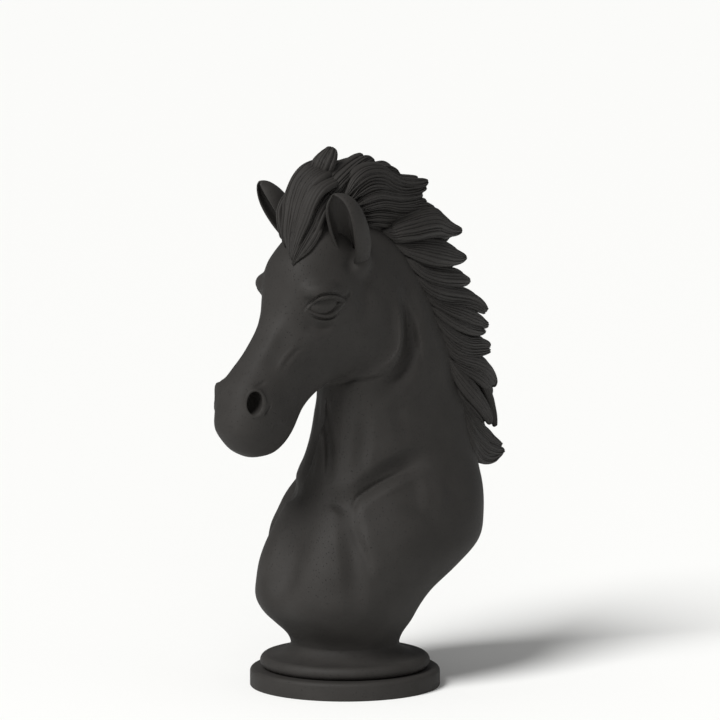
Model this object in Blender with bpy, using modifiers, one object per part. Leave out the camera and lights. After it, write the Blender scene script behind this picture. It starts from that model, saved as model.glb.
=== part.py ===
"""Chess knight sculpture: a horse's head, neck and breast over a low round foot, cast in one.

The horse faces -Y and its left side is +X. The origin is the centre of the foot's underside.
The foot is turned and measured in metres. The horse is free carving, and its points are given in
carving units, a fixed share of the bust's height, with z counted so that the foot's top is at 45.
"""

import math
import random

import bmesh
import bpy
import numpy as np
from mathutils import Vector

# Driving dimensions, in metres
BUST_HEIGHT = 0.604
FOOT_RADIUS = 0.114
DISC_HEIGHT = 0.022
DISC_ROUNDING = 0.005
ROLL_STEPS_IN = 0.012
ROLL_HEIGHT = 0.016
HOLLOW_HEIGHT = 0.016
FOOT_HEIGHT = DISC_HEIGHT + ROLL_HEIGHT + HOLLOW_HEIGHT

# The carving's own units: the bust is this many units high, above this level
BUST_UNITS = 503.0
BUST_STARTS = 45.0
UNIT = BUST_HEIGHT / BUST_UNITS
WAIST_UNITS = 54.0

# How finely the clay is worked, in metres, and the triangles the finished cast may have
FORM_VOXEL = 0.003
HAIR_VOXEL = 0.0025
FORM_SMOOTHING = 18
HAIR_SMOOTHING = 3
STROKE_FADE = 0.35
STROKE_ENDS = 0.15
BUST_TRIANGLES = 7900
FOOT_STEPS = 48
ARC_STEPS = 4
# How strongly the finish follows the fine work's weights
FINE_FACTOR = 0.02
# The fine work's weights fade out between these shares of its radius
FINE_FADES = 0.8
FINE_ENDS = 1.2
SHARP_ABOVE = 40.0


def place(point):
    """A carving point in the part's frame, in metres."""
    x, y, z = point
    return Vector((x * UNIT, y * UNIT, FOOT_HEIGHT + (z - BUST_STARTS) * UNIT))


def smooth_rows(rows, count):
    """Rows of numbers read as stations on a smooth curve, and the same curve at count stations."""
    rows = np.array(rows, float)
    padded = np.vstack([2 * rows[0] - rows[1], rows, 2 * rows[-1] - rows[-2]])
    made = []
    for t in np.linspace(0, len(rows) - 1, count):
        i = min(int(t), len(rows) - 2)
        f = t - i
        a, b, c, d = padded[i : i + 4]
        bend = (2 * a - 5 * b + 4 * c - d) * f * f + (3 * b - a - 3 * c + d) * f**3
        made.append(0.5 * (2 * b + (c - a) * f + bend))
    return np.array(made)


def mesh_object(name, points, faces):
    mesh = bpy.data.meshes.new(name)
    mesh.from_pydata([place(p) for p in points], [], faces)
    body = bmesh.new()
    body.from_mesh(mesh)
    bmesh.ops.recalc_face_normals(body, faces=body.faces)
    body.to_mesh(mesh)
    body.free()
    obj = bpy.data.objects.new(name, mesh)
    bpy.context.scene.collection.objects.link(obj)
    return obj


def loft(name, rings):
    """A closed skin over rings of carving points, each ring with as many points as the next."""
    count = len(rings[0])
    points = [p for ring in rings for p in ring]
    faces = []
    for i in range(len(rings) - 1):
        for j in range(count):
            k = (j + 1) % count
            faces.append((i * count + j, i * count + k, (i + 1) * count + k, (i + 1) * count + j))
    faces.append(tuple(range(count))[::-1])
    faces.append(tuple(range(len(points) - count, len(points))))
    return mesh_object(name, points, faces)


def blob(name, centre, radii, lean=0.0):
    """An ellipsoid of carving units, leant about the horse's side-to-side axis, in degrees."""
    bpy.ops.mesh.primitive_uv_sphere_add(segments=32, ring_count=16, location=place(centre))
    obj = bpy.context.object
    obj.name = name
    obj.rotation_euler = (math.radians(lean), 0, 0)
    obj.scale = [r * UNIT for r in radii]
    return obj


def pair(name, centre, radii, lean=0.0):
    x, y, z = centre
    return [blob(name, (side * x, y, z), radii, lean) for side in (1, -1)]


def baked(obj):
    """The object as its modifiers leave it, as a new plain mesh object. The old one is removed."""
    graph = bpy.context.evaluated_depsgraph_get()
    mesh = bpy.data.meshes.new_from_object(obj.evaluated_get(graph))
    mesh.transform(obj.matrix_world)
    made = bpy.data.objects.new(obj.name, mesh)
    bpy.context.scene.collection.objects.link(made)
    bpy.data.objects.remove(obj)
    return made


def joined(name, pieces):
    bpy.ops.object.select_all(action="DESELECT")
    for piece in pieces:
        piece.select_set(True)
    bpy.context.view_layer.objects.active = pieces[0]
    bpy.ops.object.join()
    whole = bpy.context.object
    whole.name = name
    return whole


def fused(name, pieces, voxel, smoothing):
    """The pieces as one skin, worked over until their joints run into each other."""
    whole = joined(name, pieces)
    remesh = whole.modifiers.new("one skin", "REMESH")
    remesh.mode = "VOXEL"
    remesh.voxel_size = voxel
    if smoothing:
        smooth = whole.modifiers.new("worked over", "SMOOTH")
        smooth.factor = 0.5
        smooth.iterations = smoothing
    return baked(whole)


def body_ring(row, sides=40):
    """A ring across the neck: front and back midline points, half width and the fullness of each end."""
    front_y, front_z, back_y, back_z, width, front_full, back_full = row
    ring = []
    for i in range(sides):
        turn = 2 * math.pi * i / sides
        along = (1 - math.cos(turn)) / 2
        full = front_full + (back_full - front_full) * along
        across = math.copysign(abs(math.sin(turn)) ** full, math.sin(turn))
        y = front_y + (back_y - front_y) * along
        z = front_z + (back_z - front_z) * along
        ring.append((width * across, y, z))
    return ring


def neck_and_chest():
    rows = [
        (-WAIST_UNITS, 30, WAIST_UNITS, 30, WAIST_UNITS, 1.0, 1.0),
        (-WAIST_UNITS, 44, WAIST_UNITS, 44, WAIST_UNITS, 1.0, 1.0),
        (-59, 54, 58, 54, 58, 1.0, 1.0),
        (-72, 66, 68, 66, 66, 0.9, 1.0),
        (-86, 79, 77, 82, 74, 0.85, 0.95),
        (-93, 95, 93, 98, 80, 0.8, 0.9),
        (-86, 115, 125, 118, 86, 0.75, 0.85),
        (-75, 140, 155, 140, 90, 0.75, 0.85),
        (-67, 165, 163, 166, 87, 0.8, 0.85),
        (-54, 190, 167, 190, 79, 0.74, 0.9),
        (-42, 215, 163, 213, 69, 0.8, 0.82),
        (-33, 245, 160, 243, 59, 0.9, 0.72),
        (-29, 275, 152, 275, 53, 1.0, 0.66),
        (-26, 305, 141, 309, 50, 1.0, 0.62),
        (-24, 335, 125, 345, 47, 1.0, 0.6),
        (-24, 365, 105, 381, 44, 1.0, 0.6),
        (-34, 395, 88, 412, 41, 1.0, 0.62),
        (-46, 420, 64, 440, 38, 1.0, 0.68),
        (-54, 438, 36, 460, 34, 1.0, 0.75),
        (-56, 450, 10, 472, 26, 1.0, 1.0),
    ]
    return loft("neck and chest", [body_ring(row) for row in smooth_rows(rows, 70)])


# The head's axis, from the poll to the muzzle, in the horse's middle plane
POLL = (-35.0, 475.0)
HEAD_ALONG = (-0.469, -0.883)


def head_point(x, along, up):
    """A point given sideways, along the head from the poll, and up from its axis towards the forehead."""
    dy, dz = HEAD_ALONG
    return (x, POLL[0] + along * dy + up * dz, POLL[1] + along * dz - up * dy)


def head_ring(row, sides=40):
    along, top, bottom, upper_width, lower_width, full = row
    ring = []
    for i in range(sides):
        turn = 2 * math.pi * i / sides
        down = (1 - math.cos(turn)) / 2
        ease = min(1.0, max(0.0, (down - 0.25) / 0.5))
        width = upper_width + (lower_width - upper_width) * ease * ease * (3 - 2 * ease)
        across = math.copysign(abs(math.sin(turn)) ** full, math.sin(turn))
        ring.append(head_point(width * across, along, top + (bottom - top) * down))
    return ring


def head():
    rows = [
        (-8, 0, -40, 22, 22, 1.0),
        (10, 14, -62, 31, 30, 0.85),
        (30, 24, -95, 39, 34, 0.78),
        (55, 31, -119, 46, 38, 0.7),
        (72, 29, -129, 47, 41, 0.64),
        (90, 24, -132, 43, 42, 0.62),
        (110, 20, -123, 38, 40, 0.66),
        (128, 22, -102, 34, 35, 0.72),
        (145, 25.5, -78, 32, 31, 0.75),
        (162, 30, -64, 31, 29, 0.74),
        (180, 36, -55.5, 31, 28, 0.7),
        (194, 39, -53.5, 33, 28, 0.66),
        (207, 38, -51.5, 33, 29, 0.66),
        (222, 34.5, -47.5, 31, 27, 0.7),
        (236, 29, -38.5, 26, 23, 0.74),
        (246, 13, -24, 17, 14, 1.0),
        (250.5, 3, -14, 8, 7, 1.0),
    ]
    return loft("head", [head_ring(row) for row in smooth_rows(rows, 76)])


def masses():
    """The bigger muscles and bones, as clay laid on before the form is worked over."""
    made = []
    made += pair("brow", (31, -64, 410), (17, 27, 14), -8)
    made += pair("cheek", head_point(27, 76, -78), (18, 44, 45))
    made += pair("nostril wing", (21.5, -147, 309), (9.5, 13.5, 17), 20)
    made += pair("ear root", (32, -15, 434), (13, 15, 17), -25)
    made.append(blob("chin", head_point(0, 217, -35), (19, 15, 13)))
    return made


def stroke_weight(points, line, radius):
    """How much a stroke moves each point: all of it on the line, fading to its sides and its ends."""
    line = np.array(line, float)
    if len(line) == 1:
        gap = np.linalg.norm(points - line[0], axis=1)
        return np.clip(1 - (gap / radius) ** 2, 0, 1) ** 2
    lengths = np.linalg.norm(np.diff(line, axis=0), axis=1)
    starts = np.concatenate([[0], np.cumsum(lengths)])
    best = np.full(len(points), np.inf)
    share = np.zeros(len(points))
    for i, length in enumerate(lengths):
        run = line[i + 1] - line[i]
        along = np.clip((points - line[i]) @ run / length**2, 0, 1)
        gap = np.linalg.norm(points - line[i] - along[:, None] * run, axis=1)
        closer = gap < best
        best[closer] = gap[closer]
        share[closer] = (starts[i] + along[closer] * length) / starts[-1]
    fade = np.clip(np.minimum(share, 1 - share) / STROKE_FADE, 0, 1)
    fade = STROKE_ENDS + (1 - STROKE_ENDS) * fade * fade * (3 - 2 * fade)
    return fade * np.clip(1 - (best / radius) ** 2, 0, 1) ** 2


# The line behind and under the cheek, and the line of the cheek's edge
CHEEK_STEP = [
    (38, 32, 432), (43, 44, 405), (45, 51, 372), (45, 49, 345), (42, 37, 320), (36, 14, 300), (26, -14, 290),
]
CHEEK_EDGE = [(41, 16, 420), (44, 28, 395), (46, 33, 355), (44, 24, 331), (38, 2, 319), (28, -16, 313)]

# Strokes on the left side, repeated on the right: a line, its half width, and its rise (or cut), which
# goes along the surface's normals, or along a direction of the stroke's own
STROKES = [
    # brow, and the shadow under it that runs back past the eye
    ([(34, -86, 408), (44, -74, 414), (47, -58, 417), (45, -50, 418)], 11, 1.5),
    ([(30, -88, 400), (39, -78, 408), (44, -62, 410), (45, -48, 406)], 5, -3.5),
    ([(44, -47, 405), (42, -38, 412), (39, -32, 420)], 9, -3.0),
    # the lower lid's fold and the hollow below it
    ([(30, -87, 394), (37, -74, 382), (42, -58, 385), (45, -46, 399)], 7, 2.5),
    ([(28, -90, 384), (35, -74, 373), (40, -55, 374)], 9, -2.0),
    # temple, behind the brow and below the ear
    ([(38, -26, 426), (36, -34, 442)], 15, -3.0),
    # the step at the back and underside of the cheek, cut into the neck from the side
    (CHEEK_STEP, 17, -8.5, (1, 0, 0)),
    # the cheek's rounded edge
    (CHEEK_EDGE, 10, 2.5, (1, 0, 0)),
    # the face's long bone, and the hollow of the jaw below it
    ([(44, -40, 378), (38, -64, 372), (32, -88, 356), (27, -108, 336)], 14, 2.0),
    ([(36, -50, 340), (30, -78, 326), (27, -104, 308)], 24, -2.5),
    # the nose bone's flat side
    ([(26, -98, 382), (23, -118, 352), (21, -134, 332)], 14, -2.5),
    # nostrils: the wing, the hole and the fold above it
    ([(29, -152, 312)], 10.5, -10.0),
    ([(29, -151, 302)], 10.5, -10.0),
    ([(22, -150, 328), (28, -134, 325), (31, -124, 314)], 6, -2.0),
    # mouth corner and the line of the lips
    ([(14, -163, 285), (24, -148, 278), (27, -130, 277)], 5, -1.2),
    # keel of the windpipe and the furrow beside it
    ([(0, -30, 310), (0, -36, 255), (0, -42, 205)], 8, 3.5),
    ([(14, -28, 310), (14, -32, 255), (15, -40, 205)], 10, -3.0),
    # the neck's long muscles
    ([(38, 12, 436), (44, 50, 392), (46, 74, 345), (47, 106, 270)], 18, 3.0),
    ([(44, 25, 300), (46, 30, 250), (50, 30, 225)], 13, -2.0),
    ([(37, -6, 290), (37, -12, 245), (35, -20, 215)], 12, -2.5),
    # the hollow at the foot of the neck
    ([(26, -48, 198)], 18, -3.0),
    ([(38, -40, 198)], 18, -3.5),
    # the valley between neck and shoulder, and between breast and shoulder
    ([(40, -44, 176), (45, -30, 196), (54, -2, 216), (61, 30, 228), (66, 70, 236)], 17, -9.0),
    ([(42, -42, 204), (51, -44, 176), (62, -50, 145), (70, -54, 112), (68, -50, 84)], 17, -4.5),
    # the breast and the point of the shoulder
    ([(38, -80, 138)], 40, 5.0),
    ([(78, 0, 160)], 46, 5.0),
    ([(70, 25, 200), (78, 70, 190)], 30, 4.0),
    # the cleft between the breasts
    ([(6, -30, 185), (4, -42, 165), (0, -62, 133), (0, -75, 104), (0, -80, 70)], 30, -12.0),
]


def sculpt(obj, strokes):
    """The clay moved by each stroke, most in the middle of it, on both sides alike."""
    mesh = obj.data
    count = len(mesh.vertices)
    flat = np.empty(count * 3)
    mesh.vertices.foreach_get("co", flat)
    points = flat.reshape(-1, 3).copy()
    mesh.vertex_normals.foreach_get("vector", flat)
    normals = flat.reshape(-1, 3).copy()
    clay = points / UNIT
    clay[:, 2] += BUST_STARTS - FOOT_HEIGHT / UNIT
    clay[:, 0] = abs(clay[:, 0])
    sides = np.where(points[:, :1] < 0, -1, 1)
    move = np.zeros((count, 3))
    for line, radius, rise, *direction in strokes:
        ways = np.hstack([sides, np.ones((count, 2))]) * direction[0] if direction else normals
        move += ways * (rise * stroke_weight(clay, line, radius))[:, None]
    points += move * UNIT
    mesh.vertices.foreach_set("co", points.ravel())
    mesh.update()


# The left ear's bent middle line, the way it opens, and the direction it is flattened along a little
EAR_BASE = (20, -2, 424.0)
EAR_BEND = (57, -50, 484.0)
EAR_TIP = (52, -68, 511.0)
EAR_OPENS = (0.2, -0.96, 0.12)
EAR_FLAT = (-0.7, 0.7, 0.0)
EAR_FLATTENED = 0.22
# Along the ear: radius, how far it wraps round in degrees each way, and its wall
EAR_ROWS = [
    (0.0, 11, 165, 6.0),
    (0.2, 17, 155, 6.0),
    (0.35, 19.5, 135, 6.0),
    (0.5, 19.5, 122, 5.5),
    (0.68, 18, 110, 5.0),
    (0.85, 12.5, 98, 4.5),
    (1.0, 4.0, 88, 3.0),
]
EAR_STATIONS = 18
EAR_LEAST_INSIDE = 0.5


def ear(side):
    """A cupped leaf, open forwards, wrapped almost closed at its root."""
    mirror = np.array((side, 1, 1))
    base, bend, tip, opening, flat = (
        np.array(line) * mirror for line in (EAR_BASE, EAR_BEND, EAR_TIP, EAR_OPENS, EAR_FLAT)
    )
    flat = flat / np.linalg.norm(flat)
    rings = []
    for t, radius, wrap, wall in smooth_rows(EAR_ROWS, EAR_STATIONS):
        centre = (1 - t) ** 2 * base + 2 * t * (1 - t) * bend + t * t * tip
        axis = 2 * (1 - t) * (bend - base) + 2 * t * (tip - bend)
        axis /= np.linalg.norm(axis)
        ahead = opening - axis * opening.dot(axis)
        ahead /= np.linalg.norm(ahead)
        across = np.cross(axis, ahead)
        turns = np.radians(np.linspace(-wrap, wrap, 17))
        inside = max(radius - wall, EAR_LEAST_INSIDE)
        spokes = [radius * (across * math.sin(a) - ahead * math.cos(a)) for a in turns]
        spokes += [inside * (across * math.sin(a) - ahead * math.cos(a)) for a in turns[::-1]]
        rings.append([centre + spoke - flat * spoke.dot(flat) * EAR_FLATTENED for spoke in spokes])
    return loft("ear", rings)


# The left eye: its ball, and its lids from the inner corner to the outer one
EYE_CENTRE = np.array((31.0, -67.0, 396.0))
EYE_RADIUS = 14.5
LID_THICKNESS = 2.4
LID_ENDS = 0.45
LID_STATIONS = 18
EYE_FACES = (0.9, -0.35, 0.2)
UPPER_LID = [(31, -89, 394), (38, -82, 403), (44, -71, 409), (46, -59, 409), (44, -46, 402)]
LOWER_LID = [(31, -89, 394), (34, -81, 387), (39, -69, 384), (43, -56, 390), (44, -46, 402)]

# The mane's core in the middle plane: root and edge as (y, z), and its half thickness at each
MANE = [
    (-34, 466, -52, 496, 24, 24),
    (-26, 462, -40, 508, 26, 22),
    (-12, 460, -14, 510, 28, 18),
    (8, 450, 24, 496, 28, 15),
    (30, 436, 60, 472, 29, 14),
    (52, 418, 90, 446, 30, 13),
    (72, 394, 122, 418, 31, 13),
    (92, 360, 147, 381, 31, 13),
    (112, 322, 165, 334, 31, 13),
    (128, 285, 176, 286, 31, 13),
    (138, 255, 181, 246, 30, 12),
    (144, 234, 184, 224, 26, 11),
    (150, 222, 176, 213, 18, 8),
]


def mane_core():
    rings = []
    for root_y, root_z, edge_y, edge_z, root_half, edge_half in smooth_rows(MANE, 44):
        ring = []
        for i in range(28):
            turn = 2 * math.pi * i / 28
            out = (1 - math.cos(turn)) / 2
            half = root_half + (edge_half - root_half) * out
            x = half * math.copysign(abs(math.sin(turn)) ** 0.6, math.sin(turn))
            ring.append((x, root_y + (edge_y - root_y) * out, root_z + (edge_z - root_z) * out))
        rings.append(ring)
    return loft("mane", rings)


LOCK_STATIONS = 24
# A lock's half width at its root as a share of the widest, where it is widest, and the least it has
LOCK_ROOT = 0.5
LOCK_WIDEST = 0.45
LOCK_LEAST = 1.5
# A lock's thickness as a share of its half width, at its root and from its middle on
LOCK_FLAT = 0.3
LOCK_FULL = 0.8

# Locks: root (x, y, z) and the heading it leaves at, tip and the heading it arrives at, half width.
# Headings are degrees in the horse's middle plane, from straight back, and 90 is up.
MANE_LOCKS = [
    ((10, -37, 498), 52, (4, 38, 522), -40, 13),
    ((16, -29, 490), 46, (4, 78, 504), -36, 13),
    ((20, -16, 479), 45, (4, 114, 499), 28, 13),
    ((22, -2, 471), 26, (4, 119, 465), -28, 12),
    ((23, 12, 463), 12, (4, 140, 453), -26, 12),
    ((24, 26, 455), -2, (4, 160, 444), -14, 12),
    ((25, 38, 451), -14, (4, 151, 430), -16, 12),
    ((26, 48, 441), -34, (4, 166, 417), 26, 13),
    ((26, 60, 428), -40, (4, 170, 387), -12, 12),
    ((28, 68, 408), -36, (4, 197, 356), -20, 11),
    ((28, 76, 400), -34, (4, 184, 360), -6, 11),
    ((29, 86, 381), -32, (4, 197, 341), 0, 13),
    ((30, 97, 367), -46, (4, 190, 328), 4, 12),
    ((31, 105, 349), -46, (4, 200, 316), 10, 13),
    ((31, 111, 332), -46, (4, 199, 301), -8, 12),
    ((32, 117, 314), -34, (4, 207, 284), -50, 13),
    ((33, 119, 300), -54, (24, 170, 254), -48, 10),
    ((26, 134, 288), -48, (4, 207, 240), -62, 12),
    ((34, 127, 280), -64, (4, 210, 224), -38, 11),
    ((35, 133, 264), -70, (4, 221, 213), 28, 11),
    ((35, 139, 250), -74, (4, 198, 206), 4, 10),
]
TUFT = ((2, -46, 500), 88, (1, -26, 549), 60, 15)
# How far the right side's tips may wander from the left's
TIP_WANDER = 8.0

# Locks along the crest, which lie over the middle plane: how many, how far each runs along the core's
# rows, the row that the first starts at, the turn of each lock out of the crest's line in degrees, its
# half width, how far its tip stands off, and how far the tips stray to either side
CREST_LOCKS = 17
CREST_RUN = 1.5
CREST_STARTS = 1.0
CREST_TURN = 14.0
CREST_WIDTH = 12.0
CREST_STANDS = 15.0
CREST_STRAY = 7.0
MANE_LIES = 0.15
MANE_SWELL = 9.0
FORELOCK_LIES = -0.9
FORELOCK_PULL = 1.3
FORELOCKS = [
    ((-22, -28, 508), 160, (-25, -68, 466), 262, 12),
    ((-13, -26, 517), 158, (-14, -77, 454), 260, 13),
    ((-4, -24, 523), 156, (2, -84, 446), 258, 13),
    ((6, -24, 524), 155, (10, -87, 437), 258, 13),
    ((15, -26, 518), 158, (18, -80, 446), 262, 12),
    ((22, -29, 507), 164, (27, -68, 459), 264, 12),
    ((27, -32, 495), 172, (30, -58, 476), 266, 11),
]


def sweep(name, centres, outs, halves, thicks, sides=12):
    """A lens section carried along points, with its flat side square to the outward direction at each."""
    rings = []
    for i, centre in enumerate(centres):
        along = centres[min(i + 1, len(centres) - 1)] - centres[max(i - 1, 0)]
        along /= np.linalg.norm(along)
        out = outs[i] - along * outs[i].dot(along)
        out /= np.linalg.norm(out)
        across = np.cross(along, out)
        ring = []
        for j in range(sides):
            turn = 2 * math.pi * j / sides
            ring.append(centre + across * halves[i] * math.cos(turn) + out * thicks[i] * math.sin(turn))
        rings.append(ring)
    return loft(name, rings)


def lock(root, leaves, tip, arrives, width, side=1, lies=0.0, swell=0.0, pull=1.0):
    """A lock of hair, thin at its root and pointed at its tip, on a curve set by its two headings.

    It lies flat against the horse's side where lies is 0, and over its top line where lies is 1 or -1.
    Swell stands it off sideways in the middle, and pull is how hard it holds to its headings.
    """
    mirror = np.array((side, 1, 1))
    root = np.array(root, float) * mirror
    tip = np.array(tip, float) * mirror
    reach = pull * np.linalg.norm(tip - root)
    leaves, arrives = math.radians(leaves), math.radians(arrives)
    start = reach * np.array((0, math.cos(leaves), math.sin(leaves)))
    end = reach * np.array((0, math.cos(arrives), math.sin(arrives)))
    centres, outs, halves, thicks = [], [], [], []
    for t in np.linspace(0, 1, LOCK_STATIONS):
        centre = (2 * t**3 - 3 * t**2 + 1) * root + (t**3 - 2 * t**2 + t) * start
        centre += (3 * t**2 - 2 * t**3) * tip + (t**3 - t**2) * end
        centre[0] += side * swell * math.sin(math.pi * t)
        centres.append(centre)
        heading = (6 * t**2 - 6 * t) * (root - tip) + (3 * t**2 - 4 * t + 1) * start
        heading += (3 * t**2 - 2 * t) * end
        heading /= np.linalg.norm(heading)
        outs.append((1 - abs(lies)) * np.array((side, 0, 0)) + lies * np.array((0, -heading[2], heading[1])))
        swelling = math.sin(math.pi / 2 * min(t / LOCK_WIDEST, 2.0))
        half = width * (LOCK_ROOT + (1 - LOCK_ROOT) * swelling) * (1 - t**5) + LOCK_LEAST
        halves.append(half)
        filling = math.sin(math.pi * min(t, 0.5))
        thicks.append(half * (LOCK_FLAT + (LOCK_FULL - LOCK_FLAT) * filling))
    return sweep("lock", centres, outs, halves, thicks)


def eye(side):
    """The ball of an eye with its two lids."""
    mirror = np.array((side, 1, 1))
    out = np.array(EYE_FACES) * mirror
    ball = blob("eyeball", EYE_CENTRE * mirror, (EYE_RADIUS, EYE_RADIUS, EYE_RADIUS))
    made = [ball]
    for lid in (UPPER_LID, LOWER_LID):
        centres = smooth_rows(lid, LID_STATIONS) * mirror
        swells = [math.sin(math.pi * i / (LID_STATIONS - 1)) for i in range(LID_STATIONS)]
        bulk = [LID_THICKNESS * (LID_ENDS + (1 - LID_ENDS) * swell) for swell in swells]
        made.append(sweep("lid", centres, [out] * LID_STATIONS, bulk, bulk, sides=8))
    return made


def crest():
    """Locks that lie one over the next down the mane's edge, each from the core's edge to clear of it."""
    made = []
    fine = 40
    rows = smooth_rows(MANE, (len(MANE) - 1) * fine + 1)
    edge = [np.array((0, row[2], row[3])) for row in rows]
    for i in range(CREST_LOCKS):
        step = (len(MANE) - 1 - CREST_STARTS - CREST_RUN) / (CREST_LOCKS - 1)
        start = int(fine * (CREST_STARTS + i * step))
        end = start + int(fine * CREST_RUN)
        along = edge[end] - edge[start]
        heading = math.degrees(math.atan2(along[2], along[1]))
        away = np.array((0, -along[2], along[1])) / np.linalg.norm(along)
        stray = np.array((CREST_STRAY * (-1) ** i, 0, 0))
        root = edge[start] - stray / 2
        tip = edge[end] + away * CREST_STANDS + stray
        made.append(lock(root, heading + CREST_TURN, tip, heading + CREST_TURN, CREST_WIDTH, lies=1.0))
    return made


def hair():
    """The core and the locks of both sides. The right side's tips wander a little from the left's."""
    made = [mane_core(), lock(*TUFT)]
    wander = random.Random(3)
    for root, leaves, tip, arrives, width in MANE_LOCKS:
        made.append(lock(root, leaves, tip, arrives, width, lies=MANE_LIES, swell=MANE_SWELL))
        x, y, z = tip
        strayed = (x, y + wander.uniform(-TIP_WANDER, 0), z + wander.uniform(-TIP_WANDER, TIP_WANDER / 4))
        made.append(lock(root, leaves, strayed, arrives, width, side=-1, lies=MANE_LIES, swell=MANE_SWELL))
    made += [lock(*row, lies=FORELOCK_LIES, pull=FORELOCK_PULL) for row in FORELOCKS]
    return made + crest()


def arc(centre_r, centre_z, radius, start, end):
    """Points of a turned profile on an arc, between two angles in degrees."""
    turns = np.radians(np.linspace(start, end, ARC_STEPS + 1))
    return [(centre_r + radius * math.cos(a), centre_z + radius * math.sin(a)) for a in turns]


def foot():
    """A disc with a rounded rim, a roll on it, and a hollow that sweeps up into the bust's waist."""
    waist = WAIST_UNITS * UNIT
    roll_half = ROLL_HEIGHT / 2
    roll_z = DISC_HEIGHT + roll_half
    sweep_out = FOOT_RADIUS - ROLL_STEPS_IN - roll_half
    profile = [(0, FOOT_HEIGHT), (waist, FOOT_HEIGHT)]
    for i in range(1, ARC_STEPS + 1):
        turn = math.pi / 2 * i / ARC_STEPS
        out = (1 - math.cos(turn)) * (sweep_out - waist)
        profile.append((waist + out, FOOT_HEIGHT - math.sin(turn) * HOLLOW_HEIGHT))
    profile += arc(sweep_out, roll_z, roll_half, 80, -80)
    profile.append((sweep_out, DISC_HEIGHT))
    profile += arc(FOOT_RADIUS - DISC_ROUNDING, DISC_HEIGHT - DISC_ROUNDING, DISC_ROUNDING, 90, 0)
    profile += [(FOOT_RADIUS, 0), (0, 0)]
    mesh = bpy.data.meshes.new("foot")
    edges = [(i, i + 1) for i in range(len(profile) - 1)]
    mesh.from_pydata([(r, 0, z) for r, z in profile], edges, [])
    obj = bpy.data.objects.new("foot", mesh)
    bpy.context.scene.collection.objects.link(obj)
    screw = obj.modifiers.new("turned", "SCREW")
    screw.steps = FOOT_STEPS
    screw.render_steps = FOOT_STEPS
    screw.use_merge_vertices = True
    screw.merge_threshold = 0.00001
    return baked(obj)


def cast_resin():
    material = bpy.data.materials.new("black cast resin")
    material.use_nodes = True
    shader = material.node_tree.nodes["Principled BSDF"]
    shader.inputs["Base Color"].default_value = (0.035, 0.034, 0.033, 1.0)
    shader.inputs["Roughness"].default_value = 0.8
    shader.inputs["Metallic"].default_value = 0.0
    return material


# Where the cast keeps more of its triangles, on both sides: a centre, a radius and how freely its
# triangles are still joined there, where 1 is as freely as elsewhere
FINE_WORK = [
    ((40, -66, 396), 25, 0.02),
    ((29, -151, 308), 18, 0.02),
    ((54, -58, 478), 38, 0.35),
    ((0, -72, 456), 42, 0.3),
]


def coarser(obj, triangles):
    """The same form in about this many triangles, closest on its face."""
    group = obj.vertex_groups.new(name="fine work")
    places = [(place(centre), radius * UNIT, free) for centre, radius, free in FINE_WORK]
    for vertex in obj.data.vertices:
        spot = Vector((abs(vertex.co.x), vertex.co.y, vertex.co.z))
        weight = 1.0
        for centre, radius, free in places:
            share = ((spot - centre).length / radius - FINE_FADES) / (FINE_ENDS - FINE_FADES)
            out = min(1.0, max(0.0, share))
            weight = min(weight, free + (1 - free) * out)
        group.add([vertex.index], weight, "REPLACE")
    obj.data.calc_loop_triangles()
    decimate = obj.modifiers.new("coarser", "DECIMATE")
    decimate.vertex_group = group.name
    decimate.vertex_group_factor = FINE_FACTOR
    decimate.ratio = triangles / len(obj.data.loop_triangles)
    decimate.use_collapse_triangulate = True
    return baked(obj)


def main():
    for obj in list(bpy.data.objects):
        bpy.data.objects.remove(obj)
    form = fused("form", [neck_and_chest(), head(), *masses()], FORM_VOXEL, FORM_SMOOTHING)
    sculpt(form, STROKES)
    pieces = [form, *eye(1), *eye(-1), ear(1), ear(-1), *hair()]
    bust = coarser(fused("bust", pieces, HAIR_VOXEL, HAIR_SMOOTHING), BUST_TRIANGLES)
    stand = foot()
    union = bust.modifiers.new("cast in one", "BOOLEAN")
    union.operation = "UNION"
    union.object = stand
    knight = baked(bust)
    bpy.data.objects.remove(stand)
    knight.name = "chess_knight"
    knight.data.name = "chess_knight"
    knight.data.shade_smooth()
    knight.data.set_sharp_from_angle(angle=math.radians(SHARP_ABOVE))
    knight.data.materials.clear()
    knight.data.materials.append(cast_resin())
    parts = bpy.data.collections.new("chess knight sculpture")
    bpy.context.scene.collection.children.link(parts)
    parts.objects.link(knight)
    bpy.context.scene.collection.objects.unlink(knight)


main()
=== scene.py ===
# Chess knight sculpture, a horse's head, neck and breast on a low round foot, cast in one in black resin.
# The horse faces -Y and its left side is +X. The origin is the middle of the foot's underside.
import math
import random

import bpy
import numpy as np
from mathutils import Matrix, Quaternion, Vector


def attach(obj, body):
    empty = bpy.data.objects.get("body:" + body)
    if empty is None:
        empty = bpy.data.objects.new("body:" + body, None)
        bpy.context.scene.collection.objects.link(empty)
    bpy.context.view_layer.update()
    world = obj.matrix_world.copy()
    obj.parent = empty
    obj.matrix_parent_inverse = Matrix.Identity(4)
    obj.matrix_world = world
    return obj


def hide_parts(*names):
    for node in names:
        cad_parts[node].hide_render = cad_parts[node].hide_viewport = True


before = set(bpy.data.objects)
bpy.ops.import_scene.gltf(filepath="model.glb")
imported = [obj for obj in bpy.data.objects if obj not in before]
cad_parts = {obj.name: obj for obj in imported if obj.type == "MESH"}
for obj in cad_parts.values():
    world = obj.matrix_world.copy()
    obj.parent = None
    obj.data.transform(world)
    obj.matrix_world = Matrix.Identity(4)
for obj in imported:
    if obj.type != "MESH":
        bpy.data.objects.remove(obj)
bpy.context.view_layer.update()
print("frame loaded")

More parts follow.
